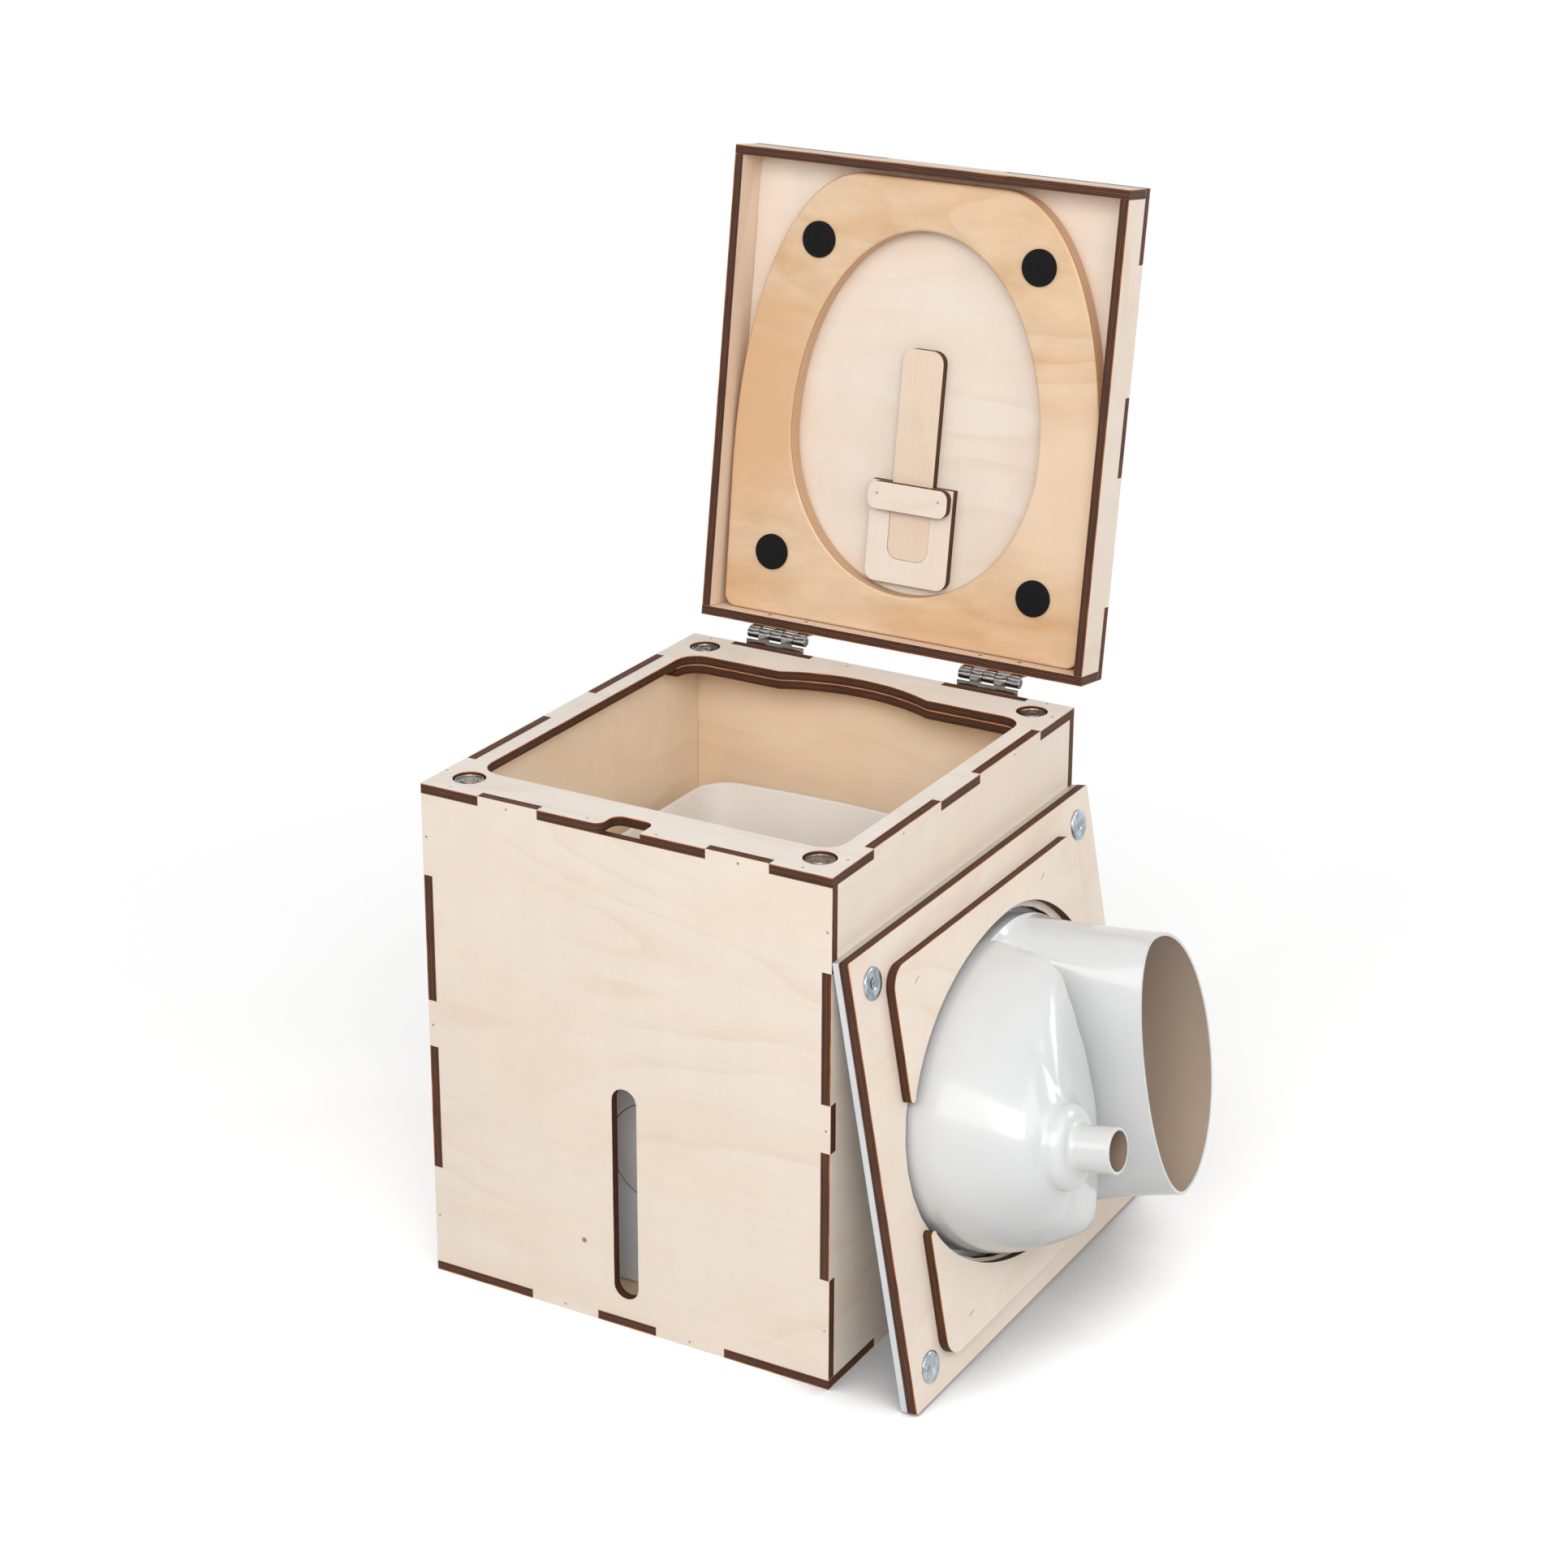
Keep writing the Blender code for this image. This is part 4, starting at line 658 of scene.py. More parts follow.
def ring_outline():
    """The box's mouth less a clearance, and in it the egg that opens to the front below the bowl."""
    mouth = rounded(-ring_half, ring_half, ring_front - half_depth, half_depth - ring_back, ring_corner, 20)
    outer = mouth[:42] + bulge(bay_half, bay_rise, half_depth - ring_back, 32) + mouth[42:]
    middle, reach, half, tip = ring_egg_middle, ring_egg_reach, ring_egg_half, ring_tip
    turn = math.degrees(math.acos((middle - ring_front - 2 * tip) / reach))
    opening = half * math.sin(math.radians(turn))
    inner = arc((ring_front + tip, -opening), tip, 180, 0, 12)
    for length, start, end in ((reach, 180 + turn, 270), (ring_egg_back - middle, -90, 90), (reach, 90, 180 - turn)):
        inner += arc((middle, 0), (length, half), start, end, 48)[1:]
    inner += arc((ring_front + tip, opening), tip, 0, -180, 12)[1:]
    return [(y + half_depth, x + half_width) for x, y in outer] + [(x, y + half_width) for x, y in inner]


def make_ring():
    board, outer, inner = boards["separator_ring"]
    ring = make("ring", flat_solid(ring_outline(), ply), board, plywood("ply_ring", board, outer, inner))
    stand_in(ring, "separator", "birch", "separator_ring")


# Screws, magnets and strikes

screw_hole, screw_seat, screw_sink = 0.0020, 0.0038, 0.0014


def cross_screw(name, length, at, finish):
    """A countersunk screw with a cross recess, its head's top on Z = 0 and its shank down -Z."""
    head, ease, shank = 0.0035, 0.00012, 0.0017
    recess, recess_foot, recess_depth, recess_width = 0.0019, 0.42, 0.0011, 0.00084
    profile = [(0, 0), (head - ease, 0), (head, -ease), (shank, -screw_sink), (shank, shank - length), (0, -length)]
    screw = make(name + "_blank", turned(profile, 40))
    foot = recess * recess_foot
    slot = [(-recess, 0.0002), (recess, 0.0002), (foot, -recess_depth), (-foot, -recess_depth)]
    steps = []
    for turn in (0, 90):
        placing = Matrix.Rotation(math.radians(turn), 4, "Z") @ axes_at((0, recess_width / 2, 0), X, Z)
        steps.append(("DIFFERENCE", make(f"{name}_slot_{turn}", flat_solid(slot, recess_width), placing)))
    made = combined(name, screw, steps, finish, 30)
    made.data.transform(at)
    return made


def magnet_places():
    side, front, back = half_width - 0.028, 0.0302 - half_depth, half_depth - 0.0272
    ends = (("front", front), ("back", back))
    return {f"{end}_{hand}": (sign * side, y) for end, y in ends for hand, sign in hands}


def spin(seed):
    return Matrix.Rotation(random.Random(seed).uniform(0, math.pi), 4, "Z")


def make_magnets(steel, brass):
    """Pot magnets: a steel cup's rim round a dished face, with a bore for the screw's head."""
    radius, height, ease, rim, dish, moat, bore = 0.0125, 0.0070, 0.0003, 0.0018, 0.0008, 0.0052, 0.0072
    profile = [
        (screw_hole, 0), (radius, 0), (radius, height - ease), (radius - ease, height), (radius - rim, height),
        (radius - rim - ease, height - dish), (radius - moat, height - dish), (radius - moat - ease, height - 0.0002),
        (radius - bore, height - 0.0002), (screw_seat + 0.0004, height - 0.0005), (screw_seat, height - dish),
        (screw_hole, height - dish - screw_sink),
    ]
    for index, (corner, (x, y)) in enumerate(magnet_places().items()):
        at = Matrix.Translation((x, y, box_height - ply))
        cup = make("magnet_cup_" + corner, turned(profile, ring=True), at, steel)
        stand_in(cup, "box", "zinc", "magnet_" + corner)
        top = at @ Matrix.Translation((0, 0, height - dish)) @ spin(index)
        stand_in(cross_screw("cup_screw_" + corner, 0.0125, top, brass), "box", "zinc", "magnet_screw_" + corner)


def make_strikes(steel):
    """Steel discs with a rolled edge and a raised ring round the screw."""
    radius, thick, ease, roll, dip = 0.0135, 0.0018, 0.0004, 0.0014, 0.0005
    profile = [
        (screw_hole, 0), (radius, 0), (radius, thick - 0.0010), (radius - ease, thick - ease), (radius - roll, thick),
        (screw_seat + 0.0012, thick), (screw_seat + 0.0003, thick - dip), (screw_seat, thick - dip),
        (screw_hole, thick - screw_sink),
    ]
    for index, (corner, (x, y)) in enumerate(magnet_places().items()):
        at = plate_frame @ Matrix.Translation((y + half_depth, x + half_width, ring_start))
        disc = make("disc_" + corner, turned(profile, 96, ring=True), at, steel)
        stand_in(disc, "separator", "zinc", "strike_disc_" + corner)
        top = at @ Matrix.Translation((0, 0, thick - ease)) @ spin(index + 10)
        stand_in(cross_screw("disc_screw_" + corner, 0.0090, top, steel), "separator", "zinc", "strike_screw_" + corner)


# Hinges

hinge_middle, knuckle, barrel, pin_size, leaf_thick = 0.109, 0.012, 0.010, 0.0040, 0.0016
leaf_low, leaf_high, leaf_corner, tongue_inset = -0.0272, -0.0051, 0.003, 0.0006
screw_spread, screw_drop = 0.0195, 0.0165


def leaf_outline(middle, knuckles):
    """A leaf below its pin, with a tongue up to each of its knuckles."""
    half, inset = knuckle * 2.5, tongue_inset
    feet = rounded(middle - half, middle + half, leaf_low, leaf_high, leaf_corner, 8)
    points = feet[27:] + feet[:9] + [(middle + half, leaf_high)]
    for index in sorted(knuckles, reverse=True):
        left = middle - half + index * knuckle + inset
        right = left + knuckle - 2 * inset
        points += [(right, leaf_high), (right, inset), (left, inset), (left, leaf_high)]
    return points + [(middle - half, leaf_high)]


def barrel_body(length):
    """A rolled knuckle about Z, its ends slightly rounded."""
    outer, bore, ease = barrel / 2, pin_size / 2 + 0.0003, 0.0005
    lower = arc((outer - ease, ease), ease, -90, 0, 4)
    upper = arc((outer - ease, length - ease), ease, 0, 90, 4)
    return turned([(bore, 0), *lower, *upper, (bore, length)], 48, ring=True)


def make_leaf(name, side, knuckles, place, body, node, chrome):
    """A hinge leaf below its pin. The frame's X runs along the pin, Y away from the wood and Z up."""
    middle, face = side * hinge_middle, gap - pin_behind + leaf_thick
    holes = [circle((middle + away, -screw_drop), screw_seat, 32) for away in (-screw_spread, screw_spread)]
    flat = flat_solid(leaf_outline(middle, knuckles), leaf_thick, holes)
    leaf = make(name + "_leaf", flat, place @ axes_at((0, face, 0), X, Z), bevel=0.0003)
    steps = []
    for index in knuckles:
        low = middle - knuckle * (2.5 - index) + gap / 2
        steps.append(("UNION", make(f"{name}_{index}", barrel_body(knuckle - gap), place @ axes_at((low, 0, 0), Y, Z))))
    stand_in(combined(name, leaf, steps, chrome), body, "chrome", node)


def make_hinges(chrome):
    """Three knuckles of each hinge are the lid's and two are the box's."""
    box_place = Matrix.Translation(pin_place)
    lid_place = box_place @ Matrix.Rotation(-lid_opening, 4, "X") @ Matrix.Rotation(math.pi, 4, "Y")
    length, radius, ease = knuckle * 5, pin_size / 2, 0.0004
    profile = [(0, 0), (radius * 0.8, 0), (radius, ease), (radius, length - ease), (radius * 0.8, length), (0, length)]
    for word, side in hands:
        make_leaf("box_hinge_" + word, side, (1, 3), box_place, "box", "hinge_box_leaf_" + word, chrome)
        make_leaf("lid_hinge_" + word, -side, (0, 2, 4), lid_place, "lid", "hinge_lid_leaf_" + word, chrome)
        at = axes_at(pin_place + X * (side * hinge_middle - length / 2), Y, Z)
        stand_in(make("pin_" + word, turned(profile, 32), at, chrome), "box", "chrome", "hinge_pin_" + word)


def make_hinge_screws(steel):
    face, length = leaf_thick + gap - pin_behind, 0.0100
    opened = Matrix.Translation(pin_place) @ Matrix.Rotation(-lid_opening, 4, "X")
    inwards = axes_at((0, 0, 0), X, -Z)
    xs = [side * (hinge_middle + away) for side in (-1, 1) for away in (-screw_spread, screw_spread)]
    for index, (word, x) in enumerate(zip(("left_outer", "left_inner", "right_inner", "right_outer"), sorted(xs))):
        low = Matrix.Translation(pin_place + Vector((x, face, -screw_drop))) @ inwards @ spin(index + 20)
        stand_in(cross_screw("box_screw_" + word, length, low, steel), "box", "zinc", "box_leaf_screw_" + word)
        high = opened @ Matrix.Translation((x, face, screw_drop)) @ inwards @ spin(index + 30)
        stand_in(cross_screw("lid_screw_" + word, length, high, steel), "lid", "zinc", "lid_leaf_screw_" + word)


# Bucket and canister

floor_top = ply + gap
bucket_half, bucket_front, bucket_back, bucket_bow, bucket_corner = 0.141, -0.035, 0.160, 0.006, 0.034
can_half, can_front, can_back, can_corner, can_wall = 0.135, -0.1673, -0.040, 0.020, 0.002
can_top = floor_top + 0.278


def bucket_section(inset):
    """The bucket's outline, its rear side bowed, moved inwards by a distance."""
    half, back, corner, steps = bucket_half - inset, bucket_back - inset, bucket_corner - inset, 14
    points = rounded(-half, half, bucket_front + inset, back, corner, steps)
    cut = 2 * (steps + 1)
    return points[:cut] + bulge(half - corner, bucket_bow, back, 24)[1:-1] + points[cut:]


def make_bucket():
    base, high, wall, foot, draft, lip, drop = floor_top, floor_top + 0.3342, 0.002, 0.012, 0.012, 0.0025, 0.005
    small, ease = 0.0003, 0.0008
    rings = [(draft + inset, base + rise) for inset, rise in quarter(foot)]
    rings += [(lip, high - drop - 0.0005), (lip * 0.8, high - drop), (small, high - drop), (0, high - drop + small)]
    rings += [(0, high - ease), (small, high - small), (ease, high)]
    inner = lip + wall
    rings += [(inner - ease, high), (inner - small, high - small), (inner, high - 0.0009)]
    rings += [(draft + wall + inset, base + wall + rise) for inset, rise in quarter(foot)[::-1]]
    body = skin([raise_ring(bucket_section(inset), height) for inset, height in rings])
    finish = plastic("bucket_plastic", (227, 219, 210), (232, 225, 217), (0.357, 0.504), 0.00006)
    stand_in(make("bucket", body, finish=finish, smooth_below=50), "bucket", "bucket_plastic", "solids_bucket")


def canister_rings(inset):
    """The canister's body, drawn in by a wall thickness."""
    low, high = floor_top + inset, can_top - inset
    levels = [(draw, low + rise) for draw, rise in quarter(0.007 - inset)]
    levels += [(rise, high - draw) for draw, rise in quarter(0.016 - inset)]
    half, front, back = can_half - inset, can_front + inset, can_back - inset
    outline = rounded(-half, half, front, back, can_corner - inset, 14)
    return [raise_ring(grown(outline, -draw), height) for draw, height in levels]


def grip_outline(thick):
    """A low arch, seen from the front: its feet go into the can's top."""
    half, high, low = 0.037, 0.024, -0.001
    upper = rounded(-half, half, low, high, thick, 12)[13:39]
    inner = [(-(half - thick), low), (-(half - thick), high - thick), (half - thick, high - thick), (half - thick, low)]
    return [(-half, low)] + inner + [(half, low)] + upper


def make_canister():
    inner, outer, bead, foot, y = 0.025, 0.0275, 0.0295, -0.016, tube_middle - half_depth
    grip_middle, grip_thick = 0.088, 0.014
    neck_place = Matrix.Translation((0, y, can_top))
    neck = [(0, foot), (outer, foot), (outer, 0.0215), (outer + 0.0017, 0.022), (bead, 0.0225), (bead, 0.0254)]
    neck += [(bead - 0.0005, 0.026), (0, 0.026)]
    steps = [("UNION", make("can_neck", turned(neck), neck_place))]
    for sign in (-1, 1):
        place = axes_at((sign * grip_middle, y + grip_thick / 2, can_top), X, Z)
        steps.append(("UNION", make(f"can_grip_{sign + 1}", flat_solid(grip_outline(grip_thick), grip_thick), place)))
    steps.append(("DIFFERENCE", make("can_hollow", skin(canister_rings(can_wall)))))
    bore = [(0, foot), (inner, foot), (inner, 0.028), (0, 0.028)]
    steps.append(("DIFFERENCE", make("can_bore", turned(bore), neck_place)))
    tones = (230, 236, 246), (234, 239, 247)
    finish = plastic("canister_plastic", *tones, (0.289, 0.408), 0.00004, Specular_IOR_Level=0.3)
    can = combined("canister", make("can_blank", skin(canister_rings(0))), steps, finish, 40)
    stand_in(can, "canister", "canister_plastic", "urine_canister")


def make_level_marks():
    """Plain fill marks on the canister's front, seen through the slot."""
    ink = speckled("print", (38, 40, 44), (62, 64, 68), 400.0, 0.5)
    left, lowest, step, high, at = -0.0045, 0.040, 0.010, 0.0009, axes_at((0, can_front, 0), X, Z)
    bars = []
    for index in (*range(5), *range(16, 20)):
        z, wide = lowest + index * step, 0.0085 if index % 5 == 0 else 0.005
        bars.append((flat_solid(rounded(left, left + wide, z, z + high, 0.0003, 3), 0.00008), at))
    stand_in(joined("level_marks", bars, ink), "canister", "canister_plastic")


def make_label():
    """A bare round label on the canister's front, with a thin border."""
    radius, thick, border_middle, border_half, middle = 0.0480, 0.00015, 0.0462, 0.0004, (0, can_front, 0.141)
    made, nodes = material("label_paper", Roughness=0.45)
    place = nodes.where()[0]
    away = nodes.minus(nodes.distance(place, middle), border_middle)
    border = nodes.math("LESS_THAN", nodes.math("ABSOLUTE", away), border_half)
    paper = nodes.mix(nodes.noise(place, 30.0, 2.0), (232, 234, 238), (238, 239, 242))
    nodes.shade(nodes.mix(border, paper, (52, 54, 60)))
    body = turned([(0, 0), (radius, 0), (radius, 0.00010), (radius - 0.0002, thick), (0, thick)], 96)
    stand_in(make("label", body, axes_at(middle, X, Z), made), "canister", "canister_plastic")


# Separator's bowl, in the plate's frame: X up from its front edge, Y across and Z away from its white face

bowl_egg = (0.042, 0.245, 0.382, 0.142)
chute_mouth = (0.2315, 0.2815, 0.3645, 0.116)
bowl_wall, flange, basin_depth, basin_round, groove, plan_blend = 0.003, 0.012, 0.024, 0.0006, 0.0050, 0.016
ledge = groove - 0.0001
funnel_end, funnel_depth, fall_share, flank_length, flank_power = 0.214, 0.121, 0.30, 0.081, 1.7
rise_share, ridge_blend = 9.0, 0.014
collar_radius, collar_foot, collar_shoulder, collar_depth = 0.0355, 0.014, 0.0115, 0.133
tube_middle, tube_radius, tube_wall, tube_root, tube_depth = 0.113, 0.019, 0.0025, 0.005, 0.168
chute_start, chute_middle, chute_depth, taper_power = 0.219, 0.298, 0.138, 0.5
funnel_shares = (1, 0.985, 0.97, 0.95, 0.925, 0.9, 0.875, 0.85, 0.82, 0.79, 0.745, 0.7, 0.6, 0.5, 0.4, 0.3, 0.2, 0.1, 0)
chute_shares = (0, 0.01, 0.03, 0.06, 0.1, 0.15, 0.2, 0.3, 0.4, 0.5, 0.6, 0.7, 0.8, 0.9, 1)
egg_steps = 144
angles = [math.tau * step / egg_steps for step in range(egg_steps)]


def oval_reach(origin, half_length, half_across, angle):
    """Distance from a point on an oval's long axis to its edge at an angle, the point given from its middle."""
    along, side = math.cos(angle), math.sin(angle)
    a = (along / half_length) ** 2 + (side / half_across) ** 2
    b = origin * along / half_length**2
    c = (origin / half_length) ** 2 - 1
    return (math.sqrt(b * b - a * c) - b) / a


def egg_reach(shape, origin, angle):
    front, middle, back, half_across = shape
    reach = oval_reach(origin - middle, back - middle, half_across, angle)
    if origin + reach * math.cos(angle) > middle:
        return reach
    return oval_reach(origin - middle, middle - front, half_across, angle)


def soft_least(first, second, blend):
    """The lesser of two lengths, with a round turn where they are within a blend of each other."""
    overlap = max(blend - abs(first - second), 0)
    return min(first, second) - overlap**2 / (4 * blend)


def plan_reach(origin, wall, angle):
    """Distance from a point to the bowl's egg, less the ledge, or to the straight side where that is nearer."""
    toward = math.cos(angle) * math.copysign(1, wall - origin)
    side = abs(wall - origin) / toward if toward > 0 else math.inf
    return soft_least(egg_reach(bowl_egg, origin, angle) - ledge, side, plan_blend)


def ring_at(origin, reaches, depths):
    points = zip(angles, reaches, depths)
    return [(origin + r * math.cos(a), half_width + r * math.sin(a), depth) for a, r, depth in points]


def funnel_drop(angle, reach):
    """How far the urine funnel is below the basin's floor: its flank, its shelf or its rear side."""
    whole = funnel_depth - basin_depth
    away = egg_reach(bowl_egg, tube_middle, angle) - ledge
    length = min(away - collar_radius, flank_length)
    steepest = 1 - min(max((away - reach) / length, 0), 1)
    flank = whole * (1 - steepest**flank_power) ** (1 / flank_power)
    shelf = whole - fall_share * (reach - collar_radius)
    rear = rise_share * (funnel_end - tube_middle - reach * math.cos(angle))
    return max(soft_least(soft_least(flank, shelf, ridge_blend), rear, ridge_blend), 0)


def funnel_rings(wall, start):
    """The funnel's rings from the egg in to the collar, moved inwards by a wall, and on to the spout."""
    wide = [plan_reach(tube_middle, funnel_end, angle) for angle in angles]
    rings = [ring_at(tube_middle, [reach - wall for reach in wide], [start] * egg_steps)]
    foot = collar_radius + collar_foot
    for share in funnel_shares:
        reaches = [foot + (reach - foot) * share for reach in wide]
        depths = [basin_depth - wall + funnel_drop(angle, reach) for angle, reach in zip(angles, reaches)]
        rings.append(ring_at(tube_middle, [reach - wall for reach in reaches], depths))
    return rings + spout_rings(wall)


def spout_rings(wall):
    """From the flank through a hollow curve up to the collar, over its shoulder and along the tube."""
    foot, step, pull = collar_radius + collar_foot, 0.0005, 0.45
    tube, top = tube_radius - (tube_wall if wall else 0), collar_depth - wall
    curves = []
    for angle in angles:
        low, high = (basin_depth - wall + funnel_drop(angle, foot + away) for away in (0, step))
        side, level = collar_radius - wall, (low + top) / 2 + 0.001
        rise, lean = top - level, pull * collar_foot * (high - low) / step
        first = ((foot - wall, low), (foot - wall - pull * collar_foot, low - lean), (side, level - rise * 0.5))
        second = ((side, level + rise * 0.6), (side - collar_shoulder * pull, top), (side - collar_shoulder, top))
        curves.append(((*first, (side, level)), ((side, level), *second)))
    rings = []
    for which in (0, 1):
        for share in range(1, 10):
            places = [bezier(pair[which], share / 9) for pair in curves]
            rings.append(ring_at(tube_middle, *zip(*places)))
    ends = [(tube + inset, top + rise) for inset, rise in quarter(tube_root)]
    if wall:
        ends += [(tube, tube_depth + 0.002)]
    else:
        ends += [(tube, tube_depth - 0.0008), (tube - 0.0002, tube_depth - 0.0003), (tube - 0.0007, tube_depth)]
    return rings + [ring_at(tube_middle, [reach] * egg_steps, [depth] * egg_steps) for reach, depth in ends]


def chute_rings(wall, start, end):
    """The rear of the egg, drawn to an egg-shaped mouth, and moved inwards by a wall."""
    wide = [plan_reach(chute_middle, chute_start, angle) - wall for angle in angles]
    narrow = [egg_reach(chute_mouth, chute_middle, angle) - wall for angle in angles]
    rings = [ring_at(chute_middle, wide, [start] * egg_steps)]
    for share in chute_shares:
        blend = share**taper_power
        reaches = [first + (last - first) * blend for first, last in zip(wide, narrow)]
        depth = basin_depth + (chute_depth - basin_depth) * share
        rings.append(ring_at(chute_middle, reaches, [depth if share < 1 else end] * egg_steps))
    return rings


def basin_rings(levels):
    """Rings about the egg, at (distance outwards, depth) levels."""
    outline = [(x, y + half_width) for x, y in egg(*bowl_egg, egg_steps)]
    return [raise_ring(grown(outline, out), depth) for out, depth in levels]


def make_bowl():
    """Flange and basin, with the funnel, its spout and the chute below, all one thin moulding."""
    top = -gap - bowl_wall
    outside = [(flange - 0.0004, top), (flange, top + 0.0008), (flange, -gap), (-groove, -gap)]
    outside += [(-groove, basin_depth - basin_round)]
    for turn in (math.radians(30), math.radians(60), math.radians(90)):
        inward = basin_round * (1 - math.cos(turn))
        outside.append((-groove - inward, basin_depth - basin_round * (1 - math.sin(turn))))
    inner = -groove - bowl_wall
    hollow = [(inner + 0.002, top - 0.002), (inner, top + 0.001), (inner, basin_depth - basin_round)]
    hollow += [(inner - basin_round / 3, basin_depth - bowl_wall)]
    above = basin_depth - bowl_wall - bowl_wall / 3
    pieces = (
        ("funnel", skin(funnel_rings(0, 0.001)), "UNION"),
        ("chute", skin(chute_rings(0, 0.0012, chute_depth)), "UNION"),
        ("basin_hollow", skin(basin_rings(hollow)), "DIFFERENCE"),
        ("funnel_hollow", skin(funnel_rings(bowl_wall, above)), "DIFFERENCE"),
        ("chute_hollow", skin(chute_rings(bowl_wall, above, chute_depth + 0.002)), "DIFFERENCE"),
    )
    steps = [(operation, make("bowl_" + name, body)) for name, body, operation in pieces]
    tones, rough, peel = ((209, 211, 211), (213, 214, 213)), (0.19, 0.26), 0.00002
    finish = plastic("bowl_plastic", *tones, rough, peel, painted_bowl_shade, Coat_Weight=0.5, Coat_Roughness=0.06)
    made = combined("bowl", make("bowl_blank", skin(basin_rings(outside))), steps, finish, 38)
    made.data.transform(plate_frame)
    smooth = made.modifiers.new("weighted", "WEIGHTED_NORMAL")
    smooth.keep_sharp = True
    stand_in(made, "separator", "grey_plastic", "separator_bowl")


# Brads and staples

brad_head = ((0, -0.0006), (0.0008, -0.0006), (0.0008, 0.00002), (0.0006, 0.00008), (0, 0.00005))
# A thin dark disc round each brad's head: painted shadow.
brad_painted_shadow = ((0, -0.0004), (0.00115, -0.0004), (0.00115, 0.00001), (0, 0.000015))
box_top_brads = (
    (-0.035, -0.211), (0.031, -0.212), (0.165, -0.2105), (0.188, -0.180), (-0.169, -0.2115), (-0.1936, -0.182),
    (0.170, 0.214), (0.1885, 0.187), (-0.174, 0.212), (-0.028, 0.210),
)
staple_places = ((0.315, 0.348, 28), (0.084, 0.3445, 24), (0.093, 0.046, 12), (0.305, 0.040, 18))


def brad_places():
    """Where brads are driven into the box: its ends, its sides and its top."""
    upper, side_upper, lower, edge = 0.450, 0.4515, 0.0046, 0.191
    places = []
    for y, up, low_x in ((-half_depth, Z, 0.062), (half_depth, -Z, 0.110)):
        spots = [(sign * x, z) for sign in (-1, 1) for x, z in ((0.110, upper), (low_x, lower))]
        spots += [(sign * edge, z) for sign in (-1, 1) for z in (0.409, 0.236, 0.054)]
        places += [axes_at((x, y, z), X, up) for x, z in spots]
    for sign in (-1, 1):
        spots = [(y, z) for y in (-0.100, 0.100) for z in (side_upper, lower)]
        places += [axes_at((sign * half_width, y, z), Y, Z * sign) for y, z in spots]
    return places + [Matrix.Translation((x, y, box_height)) for x, y in box_top_brads]


def make_brads(steel, shadow_and_staple_dark):
    """Driven brads' heads, just proud of the wood, a painted shadow round each, and staples' marks on the ring."""
    lid = [lid_frame @ Matrix.Translation((side * 0.031, 0.1374, 2 * gap + 2 * ply)) for side in (-1, 1)]
    for body, places in (("box", brad_places()), ("lid", lid)):
        heads, painted_shadows = ([(turned(profile, 16), at) for at in places] for profile in (brad_head, brad_painted_shadow))
        stand_in(joined("brads_" + body, heads, steel), body, "zinc")
        stand_in(joined("brad_painted_shadows_" + body, painted_shadows, shadow_and_staple_dark), body, "birch")
    face, outline = ring_start + ply - 0.00034, rounded(-0.0040, 0.0040, -0.00035, 0.00035, 0.0003, 4)
    marks = []
    for u, w, turn in staple_places:
        at = plate_frame @ Matrix.Translation((u, w, face)) @ Matrix.Rotation(math.radians(turn), 4, "Z")
        marks.append((flat_solid(outline, 0.0004), at))
    stand_in(joined("staples", marks, shadow_and_staple_dark), "separator", "birch")


# Stage


def seen_share(nodes):
    """1 on the rays that show the backdrop, 0 on those that light the object."""
    path = nodes.add("LightPath").outputs
    mirrored = nodes.math("MAXIMUM", path["Is Glossy Ray"], path["Is Transmission Ray"])
    return nodes.math("MAXIMUM", path["Is Camera Ray"], mirrored)


def make_floor():
    """A pale floor that turns white far out. Its shadow is deeper on the plate's side, where ambient occlusion paints
    shadow into its colour.
    """
    reach = 30
    made, nodes = material("floor", Roughness=0.9, Specular_IOR_Level=0.1)
    place = nodes.where()[0]
    seen = seen_share(nodes)
    # Painted shadow: on the plate's side, ambient occlusion darkens the floor's colour near the object.
    right = nodes.ease(nodes.parts(place)["X"], 0.11, 0.20)
    open_sky = nodes.add("AmbientOcclusion", {"Distance": 0.15}, samples=16).outputs["AO"]
    painted_shade_share = nodes.times(right, nodes.ease(open_sky, 0.80, 0.25))
    nodes.shade(nodes.mix(seen, even(0.55), nodes.mix(painted_shade_share, even(0.88), even(0.42))))
    lift = nodes.ease(nodes.minus(right, painted_shade_share), 0.0, 1.0, 0.30, 0.27)
    lift = nodes.times(nodes.times(lift, nodes.ease(painted_shade_share, 0.0, 1.0, 1.0, 0.3)), seen)
    glow, white = (nodes.add("Emission", {"Color": even(1), "Strength": power}).outputs[0] for power in (lift, 1.0))
    lit = nodes.add("AddShader", {0: nodes.tree.nodes["Principled BSDF"].outputs[0], 1: glow}).outputs[0]
    far = nodes.times(nodes.ease(nodes.distance(place, (0, 0, 0)), 0.60, 1.2), seen)
    whole = nodes.add("MixShader", {0: far, 1: lit, 2: white}).outputs[0]
    nodes.put(nodes.tree.nodes["Material Output"].inputs["Surface"], whole)
    body = bmesh.new()
    corners = ((-reach, -reach), (reach, -reach), (reach, reach), (-reach, reach))
    body.faces.new([body.verts.new((x, y, 0)) for x, y in corners])
    make("floor", body, Matrix.Translation((0, 0, -0.0002)), made)


def make_world():
    """White where it is seen, and a soft light from all round on the object."""
    world = bpy.data.worlds.new("studio")
    bpy.context.scene.world = world
    world.use_nodes = True
    nodes = Nodes(world.node_tree)
    back = world.node_tree.nodes["Background"].inputs
    nodes.put(back["Color"], even(1))
    nodes.put(back["Strength"], nodes.ease(seen_share(nodes), 0.0, 1.0, 0.47, 1.0))


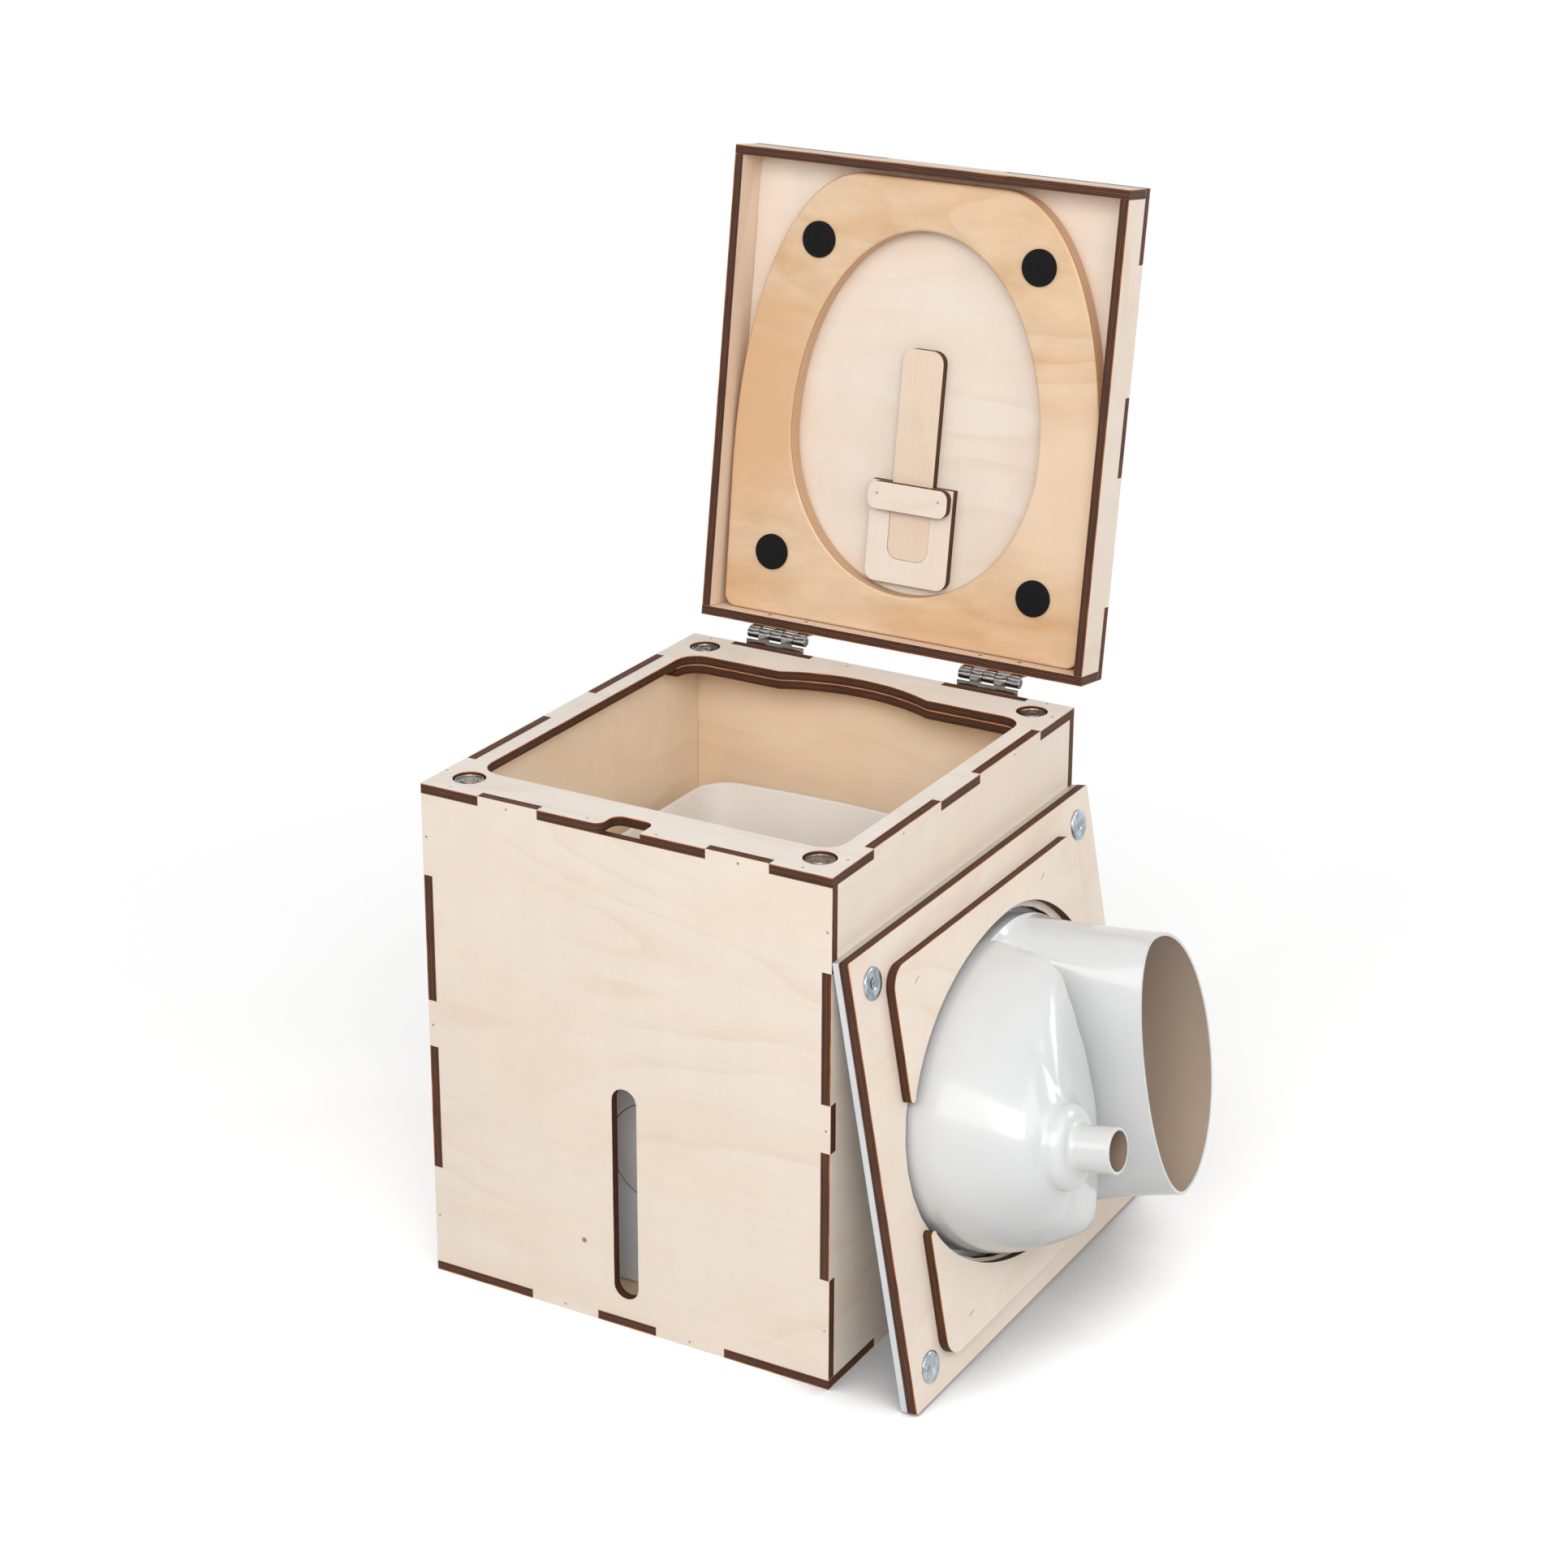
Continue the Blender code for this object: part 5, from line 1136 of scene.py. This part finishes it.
def make_lamps():
    for name, place, target, size, power in (
        ("key", (0.30, -2.86, 2.40), (0.1, -0.1, 0.35), (5.0, 1.8), 54),
        ("fill", (1.60, -2.34, 2.24), (0.15, -0.1, 0.30), (2.4, 1.6), 38),
        ("right", (2.68, -0.32, 2.02), (0.1, -0.1, 0.30), (2.4, 2.0), 20),
        ("rim", (1.89, 1.84, 1.08), (0.3, -0.05, 0.28), (0.5, 1.2), 7),
    ):
        data = bpy.data.lights.new(name, "AREA")
        data.shape, data.energy = "RECTANGLE", power
        data.size, data.size_y = size
        made = placed(name, data)
        made.location = place
        made.rotation_euler = (Vector(target) - Vector(place)).to_track_quat("-Z", "Y").to_euler()


def make_camera():
    """The photograph's camera, its focal length and the row of its axis in the image's pixels."""
    image_size, focal_length, axis_row = 1932, 4183.5, 840
    data = bpy.data.cameras.new("camera")
    data.sensor_width = 36
    data.lens = focal_length / image_size * data.sensor_width
    data.shift_y = (axis_row - image_size / 2) / image_size
    right = Vector((0.86625473, 0.49959481, 0.00278913))
    up = Vector((-0.17444089, 0.29722484, 0.93873733))
    made = placed("camera", data)
    made.matrix_world = axes_at((1.36397455, -2.32493541, 1.50243478), right, up)
    bpy.context.scene.camera = made


def build():
    bpy.context.scene.view_settings.view_transform = "Standard"
    make_camera()
    make_world()
    make_lamps()
    make_floor()
    paint_boards()
    paint("separator_sheet", laminate())
    make_seat()
    make_buffers()
    make_ring()
    steel = metal("zinc", (128, 141, 152), (196, 204, 211), 0.20, 110.0)
    cup_steel = metal("cup_steel", (96, 96, 94), (150, 148, 142), 0.22, 90.0)
    brass = metal("brass_screw", (112, 98, 74), (180, 162, 126), 0.24)
    # Dark speckle: painted shadow round the brads, and the staples' marks.
    shadow_and_staple_dark = speckled("brad_shadow_and_staple_wood", (104, 70, 50), (160, 118, 88), 900.0, 0.8)
    make_magnets(cup_steel, brass)
    make_strikes(steel)
    make_hinges(make_chrome())
    make_hinge_screws(steel)
    make_bucket()
    make_canister()
    make_level_marks()
    make_label()
    make_bowl()
    make_brads(steel, shadow_and_staple_dark)


build()
